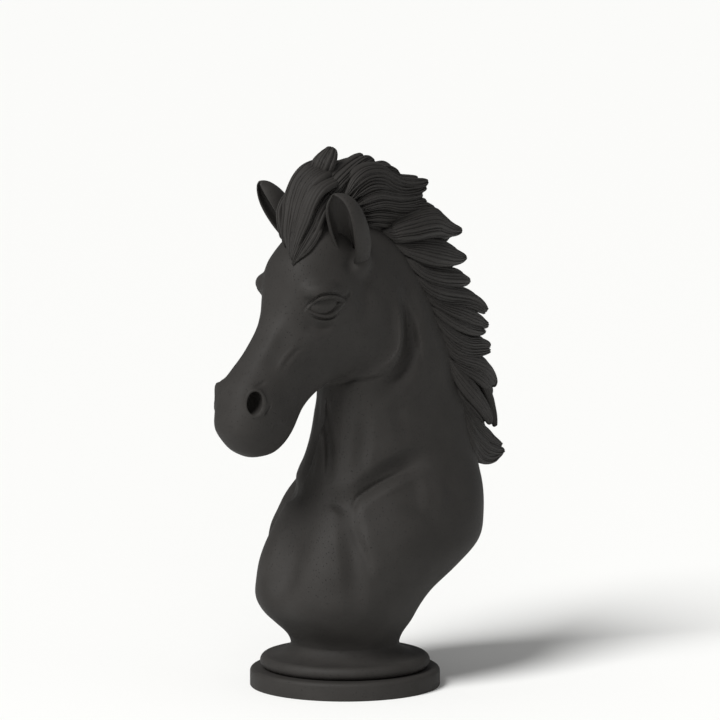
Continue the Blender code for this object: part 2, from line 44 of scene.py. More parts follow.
# The carving's units: the bust's 0.604 m are 503 of them, and z is 45 at the foot's top
carving = {"unit": 0.604 / 503, "starts": 45.0, "footTop": 0.054}
carvingRise = carving["footTop"] - carving["starts"] * carving["unit"]
# The carving's left side as it is, and its right side mirrored
mirrors = {1: np.array((1, 1, 1)), -1: np.array((-1, 1, 1))}


def toMetres(points):
    made = np.array(points, float) * carving["unit"]
    made[..., 2] += carvingRise
    return made


def toCarving(points):
    made = np.array(points, float)
    made[..., 2] -= carvingRise
    return made / carving["unit"]


def onLeft(points):
    # as carving points, those of the right side mirrored to the left
    clay = toCarving(points)
    clay[:, 0] = abs(clay[:, 0])
    return clay


# The quarter view that the sculpture is seen in, in carving units: where the foot's middle stands in it
quarter = {"azimuth": 45.0, "elevation": 10.0, "across": 345.0, "down": 684.0}
quarterTurn = math.radians(quarter["azimuth"])
quarterTilt = math.radians(quarter["elevation"])
towardsViewer = Vector((
    math.sin(quarterTurn) * math.cos(quarterTilt),
    -math.cos(quarterTurn) * math.cos(quarterTilt),
    math.sin(quarterTilt),
))


def fromQuarter(across, down, x):
    # the carving point at this x that shows at this place in the quarter view
    y = ((across - quarter["across"]) - x * math.cos(quarterTurn)) / math.sin(quarterTurn)
    rise = math.sin(quarterTilt) * (math.sin(quarterTurn) * x - math.cos(quarterTurn) * y)
    return np.array((x, y, (quarter["down"] - down + rise) / math.cos(quarterTilt)))


def showsAt(obj, across, down):
    # whether the surface shows at this place in the quarter view, its point there and its normal
    start = Vector(toMetres(fromQuarter(across, down, 0))) + towardsViewer
    hit, spot, normal, _ = obj.ray_cast(start, -towardsViewer)
    return hit, toCarving(np.array(spot)), np.array(normal)


def onSurface(obj, across, down):
    return showsAt(obj, across, down)[1:]


# Helpers round Blender's own tools

hands = {
    # points this close are merged, in metres
    "weldWithin": 1e-6,
    # a stroke's line is smoothed to this many stations for each of its places
    "strokeStations": 5,
    # the share of its length that a stroke fades over at each end, and its weight at the very end
    "strokeFades": 0.35,
    "strokeEnds": 0.15,
    # fine work is spared inside this share of its radius, freed over this share, and how strictly
    "fineInside": 0.8,
    "fineBlend": 0.4,
    "fineFactor": 0.02,
}


def eased(share):
    return share * share * (3 - 2 * share)


def unitOf(way):
    return way / np.linalg.norm(way)


def squareTo(axis, way):
    return unitOf(way - axis * way.dot(axis))


def deselectAll():
    if bpy.context.object and bpy.context.object.mode != "OBJECT":
        bpy.ops.object.mode_set(mode="OBJECT")
    bpy.ops.object.select_all(action="DESELECT")


def makeActive(obj):
    deselectAll()
    obj.select_set(True)
    bpy.context.view_layer.objects.active = obj


def applyModifier(obj, kind, **settings):
    makeActive(obj)
    modifier = obj.modifiers.new("step", kind)
    for key, value in settings.items():
        setattr(modifier, key, value)
    bpy.ops.object.modifier_apply(modifier=modifier.name)


def readVectors(items, name):
    flat = np.empty(len(items) * 3)
    items.foreach_get(name, flat)
    return flat.reshape(-1, 3)


def setPoints(obj, points):
    obj.data.vertices.foreach_set("co", np.ascontiguousarray(points).ravel())
    obj.data.update()


def shapeSkin(name, points, openEnds):
    # the fresh grid or torus takes its points; a seam is merged and open ends are filled
    skin = bpy.context.object
    skin.name = name
    setPoints(skin, toMetres(points.reshape(-1, 3)))
    bpy.ops.object.mode_set(mode="EDIT")
    bpy.ops.mesh.select_all(action="SELECT")
    if openEnds:
        bpy.ops.mesh.remove_doubles(threshold=hands["weldWithin"])
        bpy.ops.mesh.fill_holes(sides=0)
    bpy.ops.mesh.normals_make_consistent(inside=False)
    bpy.ops.object.mode_set(mode="OBJECT")
    return skin


def wrapSkin(name, rings):
    # a grid with a row for each ring, wrapped round
    rings = np.array(rings, float)
    rows, around = rings.shape[:2]
    deselectAll()
    bpy.ops.mesh.primitive_grid_add(x_subdivisions=around, y_subdivisions=rows - 1, size=1)
    return shapeSkin(name, np.concatenate([rings, rings[:, :1]], axis=1), True)


def ringSkin(name, rings):
    # a closed ring of sections, as a torus with a section for each of its segments
    rings = np.array(rings, float)
    deselectAll()
    bpy.ops.mesh.primitive_torus_add(major_segments=rings.shape[0], minor_segments=rings.shape[1])
    return shapeSkin(name, rings, False)


def addBlob(name, centre, radii, lean=0.0, facing=None, turn=0.0):
    # a ball pulled to three radii, leant about the horse's side-to-side axis, or facing a direction and
    # turned about it
    deselectAll()
    bpy.ops.mesh.primitive_uv_sphere_add(segments=48, ring_count=24, location=toMetres(centre))
    ball = bpy.context.object
    ball.name = name
    if facing:
        face = Vector(facing).to_track_quat("Z", "Y")
        ball.rotation_euler = (face @ Quaternion((0, 0, 1), math.radians(turn))).to_euler()
    else:
        ball.rotation_euler = (math.radians(lean), 0, 0)
    ball.scale = [r * carving["unit"] for r in radii]
    bpy.ops.object.transform_apply(location=True, rotation=True, scale=True)
    return ball


def joinPieces(name, pieces):
    deselectAll()
    for piece in pieces:
        piece.select_set(True)
    bpy.context.view_layer.objects.active = pieces[0]
    bpy.ops.object.join()
    whole = bpy.context.object
    whole.name = name
    whole.data.name = name
    return whole


def oneSkin(name, pieces, voxel, smoothing):
    # the pieces fused, then worked over until their joints run into each other
    whole = joinPieces(name, pieces)
    applyModifier(whole, "REMESH", mode="VOXEL", voxel_size=voxel)
    applyModifier(whole, "SMOOTH", factor=0.5, iterations=smoothing)
    return whole


def smoothRows(rows, count):
    # rows of numbers as stations on a smooth curve, read again at count stations
    rows = np.array(rows, float)
    padded = np.vstack([2 * rows[0] - rows[1], rows, 2 * rows[-1] - rows[-2]])
    made = []
    for t in np.linspace(0, len(rows) - 1, count):
        i = min(int(t), len(rows) - 2)
        f = t - i
        a, b, c, d = padded[i : i + 4]
        bend = (2 * a - 5 * b + 4 * c - d) * f * f + (3 * b - a - 3 * c + d) * f**3
        made.append(0.5 * (2 * b + (c - a) * f + bend))
    return np.array(made)


def strokeWeight(points, line, radius):
    # how much a stroke moves each point: all of it on the line, fading to its sides and its ends
    line = np.array(line, float)
    weight = np.zeros(len(points))
    low, high = line.min(0) - radius, line.max(0) + radius
    near = np.where(np.all((points > low) & (points < high), axis=1))[0]
    spots = points[near]
    if len(line) == 1:
        gap = np.linalg.norm(spots - line[0], axis=1)
        weight[near] = np.clip(1 - (gap / radius) ** 2, 0, 1) ** 2
        return weight
    lengths = np.linalg.norm(np.diff(line, axis=0), axis=1)
    starts = np.concatenate([[0], np.cumsum(lengths)])
    best = np.full(len(spots), np.inf)
    share = np.zeros(len(spots))
    for i, length in enumerate(lengths):
        run = line[i + 1] - line[i]
        along = np.clip((spots - line[i]) @ run / length**2, 0, 1)
        gap = np.linalg.norm(spots - line[i] - along[:, None] * run, axis=1)
        closer = gap < best
        best[closer] = gap[closer]
        share[closer] = (starts[i] + along[closer] * length) / starts[-1]
    fade = eased(np.clip(np.minimum(share, 1 - share) / hands["strokeFades"], 0, 1))
    fade = hands["strokeEnds"] + (1 - hands["strokeEnds"]) * fade
    weight[near] = fade * np.clip(1 - (best / radius) ** 2, 0, 1) ** 2
    return weight


def sculpt(obj, strokes):
    # each stroke raises or lowers the surface along its normals, or along the stroke's own direction
    # where it has one, on both sides alike
    points = readVectors(obj.data.vertices, "co")
    normals = readVectors(obj.data.vertex_normals, "vector")
    sides = np.where(points[:, :1] < 0, -1, 1)
    clay = onLeft(points)
    move = np.zeros(points.shape)
    for line, radius, rise, *direction in strokes:
        curve = smoothRows(line, hands["strokeStations"] * len(line)) if len(line) > 2 else line
        ways = np.hstack([sides, np.ones((len(points), 2))]) * direction[0] if direction else normals
        move += ways * (rise * strokeWeight(clay, curve, radius))[:, None]
    setPoints(obj, points + move * carving["unit"])


def thinned(obj, triangles, fineWork):
    # about this many triangles, with more of them kept round the fine work
    obj.data.calc_loop_triangles()
    group = obj.vertex_groups.new(name="fine work")
    clay = onLeft(readVectors(obj.data.vertices, "co"))
    weight = np.ones(len(clay))
    for centre, radius, free in fineWork:
        gap = np.linalg.norm(clay - np.array(centre), axis=1) / radius
        out = np.clip((gap - hands["fineInside"]) / hands["fineBlend"], 0, 1)
        weight = np.minimum(weight, free + (1 - free) * out)
    weight = np.round(weight, 2)
    for level in np.unique(weight):
        group.add(np.where(weight == level)[0].tolist(), float(level), "REPLACE")
    applyModifier(
        obj, "DECIMATE", ratio=triangles / len(obj.data.loop_triangles), vertex_group=group.name,
        vertex_group_factor=hands["fineFactor"], use_collapse_triangulate=True,
    )
    obj.vertex_groups.clear()


# Neck, breast and head

body = {
    "formVoxel": 0.002,
    "formSmoothing": 40,
    "skinVoxel": 0.0013,
    "skinSmoothing": 6,
    "triangles": 190000,
    "ringSides": 64,
    "neckStations": 110,
    "headStations": 120,
    # how far round eye and nostril the mesh is cut finer
    "fineReach": 23.0,
    # where thinning spares the mesh: middle, radius, and how freely it thins there
    "fineWork": [((40, -66, 396), 25, 0.12), ((29, -151, 308), 20, 0.12), ((30, -100, 370), 70, 0.6)],
    # across the neck: front y and z, back y and z, half width, and the fullness of front and back
    "neck": [
        (-54, 30, 54, 30, 54, 1.0, 1.0),
        (-54, 44, 54, 44, 54, 1.0, 1.0),
        (-59, 54, 58, 54, 58, 1.0, 1.0),
        (-72, 66, 68, 66, 66, 0.9, 1.0),
        (-86, 79, 77, 82, 74, 0.85, 0.95),
        (-93, 95, 93, 98, 80, 0.8, 0.9),
        (-86, 115, 125, 118, 86, 0.75, 0.85),
        (-75, 140, 155, 140, 90, 0.75, 0.85),
        (-67, 165, 163, 166, 87, 0.8, 0.85),
        (-54, 190, 167, 190, 79, 0.74, 0.9),
        (-42, 215, 163, 213, 69, 0.8, 0.82),
        (-33, 245, 160, 243, 59, 0.9, 0.72),
        (-29, 275, 152, 275, 53, 1.0, 0.66),
        (-26, 305, 141, 309, 50, 1.0, 0.62),
        (-24, 335, 125, 345, 47, 1.0, 0.6),
        (-24, 365, 105, 381, 44, 1.0, 0.6),
        (-34, 395, 88, 412, 41, 1.0, 0.62),
        (-46, 420, 64, 440, 38, 1.0, 0.68),
        (-54, 438, 36, 460, 34, 1.0, 0.75),
        (-56, 450, 10, 472, 26, 1.0, 1.0),
    ],
    # the head's line: the poll's y and z, and what one unit along it adds to them
    "poll": (-35.0, 475.0),
    "headRuns": (-0.469, -0.883),
    # the shares of the head's depth where its width starts to turn into the lower one, and that this takes
    "lowerStarts": 0.25,
    "lowerTakes": 0.5,
    # across the head: how far along from the poll, top, bottom, upper and lower half width, fullness
    "head": [
        (-8, 0, -40, 22, 22, 1.0),
        (10, 14, -62, 31, 30, 0.85),
        (30, 24, -95, 39, 34, 0.78),
        (55, 31, -119, 46, 38, 0.7),
        (72, 29, -129, 47, 41, 0.64),
        (90, 24, -132, 43, 42, 0.62),
        (110, 20, -123, 38, 40, 0.66),
        (128, 22, -102, 34, 35, 0.72),
        (145, 25.5, -78, 32, 31, 0.75),
        (162, 30, -64, 31, 29, 0.74),
        (180, 36, -55.5, 31, 28, 0.7),
        (194, 38.5, -53.5, 33, 28, 0.66),
        (207, 37.5, -51.5, 33, 29, 0.66),
        (222, 34, -47.5, 31, 27, 0.7),
        (236, 28.5, -38.5, 26, 23, 0.74),
        (246, 12, -24, 16, 14, 1.0),
        (249.5, 3, -14, 7, 6, 1.0),
    ],
}


def roundSection(turn, full):
    return math.copysign(abs(math.sin(turn)) ** full, math.sin(turn))


def ovalRing(sides, place):
    # points placed by their turn and by how far through the section they lie
    turns = [2 * math.pi * i / sides for i in range(sides)]
    return [place(turn, (1 - math.cos(turn)) / 2) for turn in turns]


def neckRing(row):
    frontY, frontZ, backY, backZ, width, frontFull, backFull = row

    def place(turn, along):
        across = roundSection(turn, frontFull + (backFull - frontFull) * along)
        return (width * across, frontY + (backY - frontY) * along, frontZ + (backZ - frontZ) * along)

    return ovalRing(body["ringSides"], place)


def headPoint(x, along, up):
    dy, dz = body["headRuns"]
    return (x, body["poll"][0] + along * dy + up * dz, body["poll"][1] + along * dz - up * dy)


def headRing(row):
    along, top, bottom, upperWidth, lowerWidth, full = row

    def place(turn, down):
        lower = eased(min(1.0, max(0.0, (down - body["lowerStarts"]) / body["lowerTakes"])))
        width = upperWidth + (lowerWidth - upperWidth) * lower
        return headPoint(width * roundSection(turn, full), along, top + (bottom - top) * down)

    return ovalRing(body["ringSides"], place)


# rounded masses on both sides: centre, three radii and lean
masses = [
    ("brow", (31, -64, 410), (17, 27, 14), -8),
    ("cheek", headPoint(27, 76, -78), (18, 44, 45), 0),
    ("nostril wing", (21.5, -147, 309), (9.5, 13.5, 17), 20),
    ("ear root", (32, -15, 434), (13, 15, 17), -25),
]
chin = (headPoint(0, 217, -35), (19, 15, 13))

# strokes on the left side, repeated on the right: a line, its half width, and its rise or cut
formStrokes = [
    # brow, and the shadow under it that runs back past the eye
    ([(34, -86, 408), (44, -74, 414), (47, -58, 417), (45, -50, 418)], 11, 1.4),
    ([(30, -88, 400), (39, -78, 408), (44, -62, 410), (45, -48, 406)], 6, -2.0),
    # the lower lid's fold and the hollow below it
    ([(28, -90, 384), (35, -74, 373), (40, -55, 374)], 9, -2.0),
    # temple, behind the brow and below the ear
    ([(38, -26, 426), (36, -34, 442)], 15, -3.0),
    # the step at the back and underside of the cheek, cut into the neck, and its rounded edge
    ([(38, 32, 432), (43, 44, 405), (45, 51, 372), (45, 49, 345), (42, 37, 320), (36, 14, 300),
        (26, -14, 290)], 17, -8.5, (1, 0, 0)),
    ([(41, 16, 420), (44, 28, 395), (46, 33, 355), (44, 24, 331), (38, 2, 319),
        (28, -16, 313)], 10, 2.0, (1, 0, 0)),
    # the face's long bone, and the hollow of the jaw below it
    ([(44, -40, 378), (38, -64, 372), (32, -88, 356), (27, -108, 336)], 14, 1.2),
    ([(36, -50, 340), (30, -78, 326), (27, -104, 308)], 24, -1.8),
    # the nose bone's flat side
    ([(26, -98, 382), (23, -118, 352), (21, -134, 332)], 14, -2.5),
    # keel of the windpipe and the furrow beside it
    ([(0, -30, 310), (0, -36, 255), (0, -42, 205)], 8, 3.5),
    ([(14, -28, 310), (14, -32, 255), (15, -40, 205)], 10, -3.0),
    # the neck's long muscles
    ([(38, 12, 436), (44, 50, 392), (46, 74, 345), (47, 106, 270)], 18, 3.0),
    ([(44, 25, 300), (46, 30, 250), (50, 30, 225)], 13, -2.0),
    ([(37, -6, 290), (37, -12, 245), (35, -20, 215)], 12, -2.5),
    # the hollow at the foot of the neck
    ([(26, -48, 198)], 18, -3.0),
    ([(38, -40, 198)], 18, -3.5),
    # the valley between neck and shoulder, and between breast and shoulder
    ([(40, -44, 176), (45, -30, 196), (54, -2, 216), (61, 30, 228), (66, 70, 236)], 17, -9.0),
    ([(42, -42, 204), (51, -44, 176), (62, -50, 145), (70, -54, 112), (68, -50, 84)], 17, -4.5),
    # the breast and the point of the shoulder
    ([(38, -80, 138)], 40, 5.0),
    ([(78, 0, 160)], 46, 5.0),
    ([(70, 25, 200), (78, 70, 190)], 30, 4.0),
    # the cleft between the breasts
    ([(6, -30, 185), (4, -42, 165), (0, -62, 133), (0, -75, 104), (0, -80, 70)], 30, -12.0),
]

# finer strokes drawn in the quarter view, laid on the surface and repeated on the right
seenStrokes = [
    # the groove above the upper lid, running on into the pit behind the eye
    ([(304.5, 310.5), (311.5, 302.5), (320, 296.7), (328, 294.8), (336, 294.6), (342.5, 296.8),
        (347, 299)], 2.6, -3.2),
    ([(343, 299.5), (348, 296.5), (351.5, 290)], 5, -2.8),
    # the hollow that the ball lies in
    ([(311, 308.2), (325, 306.5), (338, 304)], 7.5, -3.0),
    # the groove and the second fold below the lower lid, and the hollow under them
    ([(308, 313.5), (315, 317.3), (321, 319), (328, 319.2), (334, 317), (339.5, 311)], 2.2, -2.0),
    ([(313, 318.8), (320, 321.6), (328, 321.8), (334.5, 319.8), (340, 315)], 2.2, 1.0),
    ([(314, 324), (324, 326.5), (335, 324)], 5, -1.8),
    # the fold above the nostril, and the crease behind it
    ([(252, 389.5), (259, 386), (268, 380.5)], 3, -1.3),
    ([(272, 402), (269, 409), (263.5, 415.8)], 2.6, -1.6),
    # the corner of the lips and the chin's edge
    ([(269, 432), (278, 427), (289, 421)], 7, -1.0),
    ([(256, 450.5), (267, 447.5), (277, 441.5), (286, 433)], 4, -0.8),
    # the loop of veins on the face
    ([(281, 374), (284, 368), (290, 359), (299, 350), (310, 347.5)], 3.0, -0.9),
    ([(311, 349), (310, 355), (304, 362), (296, 368)], 3.0, -0.7),
    ([(286, 376), (290, 368), (296, 360), (303, 354)], 3.0, 0.5),
    ([(277, 372), (281, 364), (288, 354), (298, 345.5)], 3.2, 0.5),
    # the cheek's rounded rim, and the drop behind it and under the jaw
    ([(394, 292), (398.7, 308), (400.8, 328), (400.3, 345), (395.5, 356), (388, 364), (378, 370),
        (368, 373.5)], 3.6, 1.8),
    ([(399, 286), (404.5, 304), (407, 328), (406.3, 348), (400.5, 362), (391, 370.5), (380, 376.5),
        (368, 379)], 4.6, -2.2),
    ([(403, 290), (409.5, 308), (412, 328), (411, 350), (405, 365), (395, 376), (382, 383),
        (368, 386)], 9, -2.2),
    ([(392, 368.5), (380, 376.3), (368, 379), (355, 379.5), (344, 382.5), (333, 385)], 3.4, -2.4),
    ([(352, 375.5), (342, 378), (331, 381.5), (320, 387)], 3, 1.2),
    # the neck's ridge behind the cheek, and the fall from it towards the mane
    ([(388, 268), (402, 290), (412, 312), (419.5, 336), (426, 362), (431, 392)], 6.5, 2.0),
    ([(408, 282), (424, 314), (434, 346), (442, 384)], 9, -1.8),
    # the temple's hollow and the cheek bone below the eye
    ([(362, 276), (366, 290), (364, 304)], 12, -1.6),
    ([(296, 330), (312, 334), (330, 334), (346, 326), (354, 314)], 8, 1.3),
    ([(306, 342), (322, 346), (338, 345)], 9, -1.0),
    # the valley between neck and shoulder, the shoulder's edge below it, and the dip where it ends
    ([(353.6, 522), (354, 508), (356.8, 499), (362, 494), (370, 488.8), (379, 483.5), (390, 477.8),
        (401, 472), (412, 467)], 5, -2.6),
    ([(360, 520), (361, 508), (366, 501.5), (376, 494.5), (388, 488), (400, 482), (413, 476)], 10, 2.4),
    ([(330, 498), (340, 507), (349, 516)], 9, -2.4),
    # the line between breast and shoulder
    ([(353.3, 521), (355, 530), (360, 543), (365, 554), (368.5, 566), (372, 582)], 7, -1.6),
    ([(364, 522), (367, 536), (373, 550), (379, 566), (382, 582)], 14, 1.4),
    # the edge of the windpipe and the furrow beside it
    ([(318.6, 393), (320.5, 412), (322.5, 430), (324, 446), (324, 468), (323.3, 490)], 3.4, 2.0),
    ([(325, 388), (326.5, 412), (328.5, 430), (330, 448), (330, 476)], 7, -3.4),
    ([(316.5, 398), (317.5, 415), (319, 432), (320.5, 447)], 2.4, -1.6),
]

nostril = {
    # the hole's middle in the quarter view, its half width, half height and depth, and its rim
    "middle": (256.2, 403.4),
    "hole": (8.6, 12.2, 20.0),
    "holeSunk": 6.0,
    "rimOut": 1.4,
    "rim": 1.8,
    "rimSunk": 0.5,
    "rimStations": 40,
}

eyes = {
    # the ball is a low dome: half length, half height and depth, and how far its middle is sunk
    "middle": (324.2, 306.8),
    "ball": (15.5, 11.4, 8.0),
    "ballSunk": 4.7,
    "ballTurn": 14.0,
    # lines in the quarter view: each lid from the inner corner to the outer one, with its half width,
    # which is less at both ends
    "upperLid": [(306, 310.8), (312.5, 304), (320, 298.7), (328, 297), (336, 296.9), (342, 299),
        (345.5, 302)],
    "lowerLid": [(306, 310.8), (313, 313.6), (320, 315.7), (327, 316.4), (332.5, 314.5), (337, 310.5),
        (341, 306), (345, 302.3)],
    "upperHalf": 2.1,
    "lowerHalf": 2.0,
    "lidEnds": 0.4,
    "lidStations": 32,
    "bead": (339, 304.3),
    "beadRadius": 1.8,
    "socket": 19.0,
    "socketDepth": -2.0,
}

ears = {
    "base": (20, -2, 424.0),
    "bend": (57, -50, 484.0),
    "tip": (52, -68, 510.0),
    "opens": (0.2, -0.96, 0.12),
    # the cup is a little flattened along this direction, by this share
    "flat": (-0.7, 0.7, 0.0),
    "flattened": 0.24,
    "stations": 60,
    "around": 48,
    # where the rounded rim's points lie, in degrees from the outer face
    "rim": (22, 45, 67, 90, 113, 135, 158),
    # along the ear: radius, how far it wraps round in degrees on its inner and its outer side, wall, and
    # how far the cup is filled up from its back
    "rows": [
        (0.0, 10, 178, 150, 3.0, 6.0),
        (0.12, 14, 178, 142, 3.4, 10.0),
        (0.22, 17.5, 174, 132, 3.6, 15.0),
        (0.32, 19, 158, 124, 3.6, 17.0),
        (0.5, 19.5, 130, 118, 3.6, 13.0),
        (0.68, 18, 114, 112, 3.4, 7.0),
        (0.8, 15, 106, 106, 3.2, 3.0),
        (0.9, 10.5, 100, 100, 3.0, 0.5),
        (1.0, 3.0, 94, 94, 2.0, 0.0),
    ],
}


def sweepSection(name, centres, outs, section, maker=wrapSkin):
    # a section carried along points: section gives the across and out of each point of a ring
    rings = []
    last = len(centres) - 1
    for i, centre in enumerate(centres):
        if maker is ringSkin:
            along = unitOf(centres[(i + 1) % (last + 1)] - centres[i - 1])
        else:
            along = unitOf(centres[min(i + 1, last)] - centres[max(i - 1, 0)])
        out = squareTo(along, outs[i])
        across = np.cross(along, out)
        rings.append([centre + across * a + out * b for a, b in section(i)])
    return maker(name, rings)


def roundTube(half, sides=12):
    turns = [2 * math.pi * j / sides for j in range(sides)]
    return [(half * math.cos(turn), half * math.sin(turn)) for turn in turns]


def addEar(side):
    # a cupped leaf with rounded rims, open forwards, wrapped almost closed at its root
    base, bend, tip, opens, flat = (
        np.array(ears[key]) * mirrors[side] for key in ("base", "bend", "tip", "opens", "flat")
    )
    flat = unitOf(flat)
    rings = []
    for t, radius, inner, outer, wall, fill in smoothRows(ears["rows"], ears["stations"]):
        centre = (1 - t) ** 2 * base + 2 * t * (1 - t) * bend + t * t * tip
        axis = unitOf(2 * (1 - t) * (bend - base) + 2 * t * (tip - bend))
        ahead = squareTo(axis, opens)
        across = np.cross(axis, ahead)
        turns = side * np.radians(np.linspace(-inner, outer, ears["around"])[::side])
        half = min(wall, radius) / 2

        def wallPoint(turn, out, past):
            # out from the wall's middle, and past its edge
            spoke = across * math.sin(turn) - ahead * math.cos(turn)
            edge = across * math.cos(turn) + ahead * math.sin(turn)
            offset = spoke * (radius - half + out) + edge * past
            return centre + offset - flat * offset.dot(flat) * ears["flattened"]

        caps = [(half * math.cos(c), half * math.sin(c)) for c in np.radians(ears["rim"])]
        ring = [wallPoint(a, half, 0) for a in turns]
        ring += [wallPoint(turns[-1], out, past) for out, past in caps]
        ring += [wallPoint(a, -half - fill * max(0, math.cos(a)), 0) for a in turns[::-1]]
        ring += [wallPoint(turns[0], -out, -past) for out, past in caps]
        rings.append(ring)
    return wrapSkin("ear", rings)


def addNostrilRims(form):
    # a soft raised ring laid on the muzzle round each hole
    wide, tall, deep = nostril["hole"]
    spots = []
    for i in range(nostril["rimStations"]):
        turn = 2 * math.pi * i / nostril["rimStations"]
        across = nostril["middle"][0] + (wide + nostril["rimOut"]) * math.cos(turn)
        down = nostril["middle"][1] + (tall + nostril["rimOut"]) * math.sin(turn)
        spots.append(onSurface(form, across, down))
    made = []
    for mirror in mirrors.values():
        centres = [(spot - normal * nostril["rimSunk"]) * mirror for spot, normal in spots]
        outs = [normal * mirror for _, normal in spots]
        tube = roundTube(nostril["rim"])
        made.append(sweepSection("nostril rim", centres, outs, lambda i: tube, ringSkin))
    return made


def cutNostrils(form):
    spot, normal = onSurface(form, *nostril["middle"])
    for mirror in mirrors.values():
        centre = (spot - normal * nostril["holeSunk"]) * mirror
        hole = addBlob("hole", centre, nostril["hole"], facing=tuple(normal * mirror))
        applyModifier(form, "BOOLEAN", operation="DIFFERENCE", object=hole, solver="EXACT")
        bpy.data.objects.remove(hole)


def addLids(form):
    # each lid a round tube along its line, laid on the surface
    made = []
    for name, half in (("upperLid", "upperHalf"), ("lowerLid", "lowerHalf")):
        spots = [onSurface(form, *place) for place in smoothRows(eyes[name], eyes["lidStations"])]
        centres = np.array([spot for spot, _ in spots])
        normals = np.array([normal for _, normal in spots])
        swell = [math.sin(math.pi * i / (len(spots) - 1)) ** 0.5 for i in range(len(spots))]
        tubes = [roundTube(eyes[half] * (eyes["lidEnds"] + (1 - eyes["lidEnds"]) * s)) for s in swell]
        for mirror in mirrors.values():
            made.append(sweepSection("lid", centres * mirror, normals * mirror, lambda i: tubes[i]))
    return made


def addEyes(form):
    # each eye: its low ball, and the bead in the outer corner
    spot, normal = onSurface(form, *eyes["middle"])
    bead = onSurface(form, *eyes["bead"])[0]
    middle = spot - normal * eyes["ballSunk"]
    made = []
    for side, mirror in mirrors.items():
        facing, turn = tuple(normal * mirror), side * eyes["ballTurn"]
        made.append(addBlob("eyeball", middle * mirror, eyes["ball"], facing=facing, turn=turn))
        made.append(addBlob("bead", bead * mirror, (eyes["beadRadius"],) * 3))
    return made


def subdivideNear(obj, places, radius):
    # faces near these places cut finer, for the fine work there
    makeActive(obj)
    bpy.ops.object.mode_set(mode="EDIT")
    bpy.ops.mesh.select_all(action="DESELECT")
    bpy.ops.object.mode_set(mode="OBJECT")
    clay = onLeft(readVectors(obj.data.polygons, "center"))
    near = np.zeros(len(clay), bool)
    for place in places:
        near |= np.linalg.norm(clay - place, axis=1) < radius
    obj.data.polygons.foreach_set("select", near)
    bpy.ops.object.mode_set(mode="EDIT")
    bpy.ops.mesh.subdivide(number_cuts=1)
    bpy.ops.object.mode_set(mode="OBJECT")


parts = [
    wrapSkin("neck", [neckRing(row) for row in smoothRows(body["neck"], body["neckStations"])]),
    wrapSkin("head", [headRing(row) for row in smoothRows(body["head"], body["headStations"])]),
]
for name, (x, y, z), radii, lean in masses:
    parts += [addBlob(name, (side * x, y, z), radii, lean) for side in mirrors]
parts.append(addBlob("chin", *chin))
form = oneSkin("form", parts, body["formVoxel"], body["formSmoothing"])
sculpt(form, formStrokes)
print("form modelled")

details = addNostrilRims(form) + addLids(form)
knightEyes = joinPieces("knight_eyes", addEyes(form))
knightEars = joinPieces("knight_ears", [addEar(1), addEar(-1)])
sculpt(form, [([onSurface(form, *eyes["middle"])[0]], eyes["socket"], eyes["socketDepth"])])
cutNostrils(form)
knightBody = oneSkin("knight_body", [form, *details], body["skinVoxel"], body["skinSmoothing"])
finePlaces = [onSurface(knightBody, *piece["middle"])[0] for piece in (eyes, nostril)]
subdivideNear(knightBody, finePlaces, body["fineReach"])
fineStrokes = [
    ([onSurface(knightBody, *place)[0] for place in line], radius, rise, tuple(towardsViewer))
    for line, radius, rise in seenStrokes
]
sculpt(knightBody, fineStrokes)
thinned(knightBody, body["triangles"], body["fineWork"])
print("body modelled")

# Hair: locks as carved leaves of strands, each a closed leaf rooted in the neck

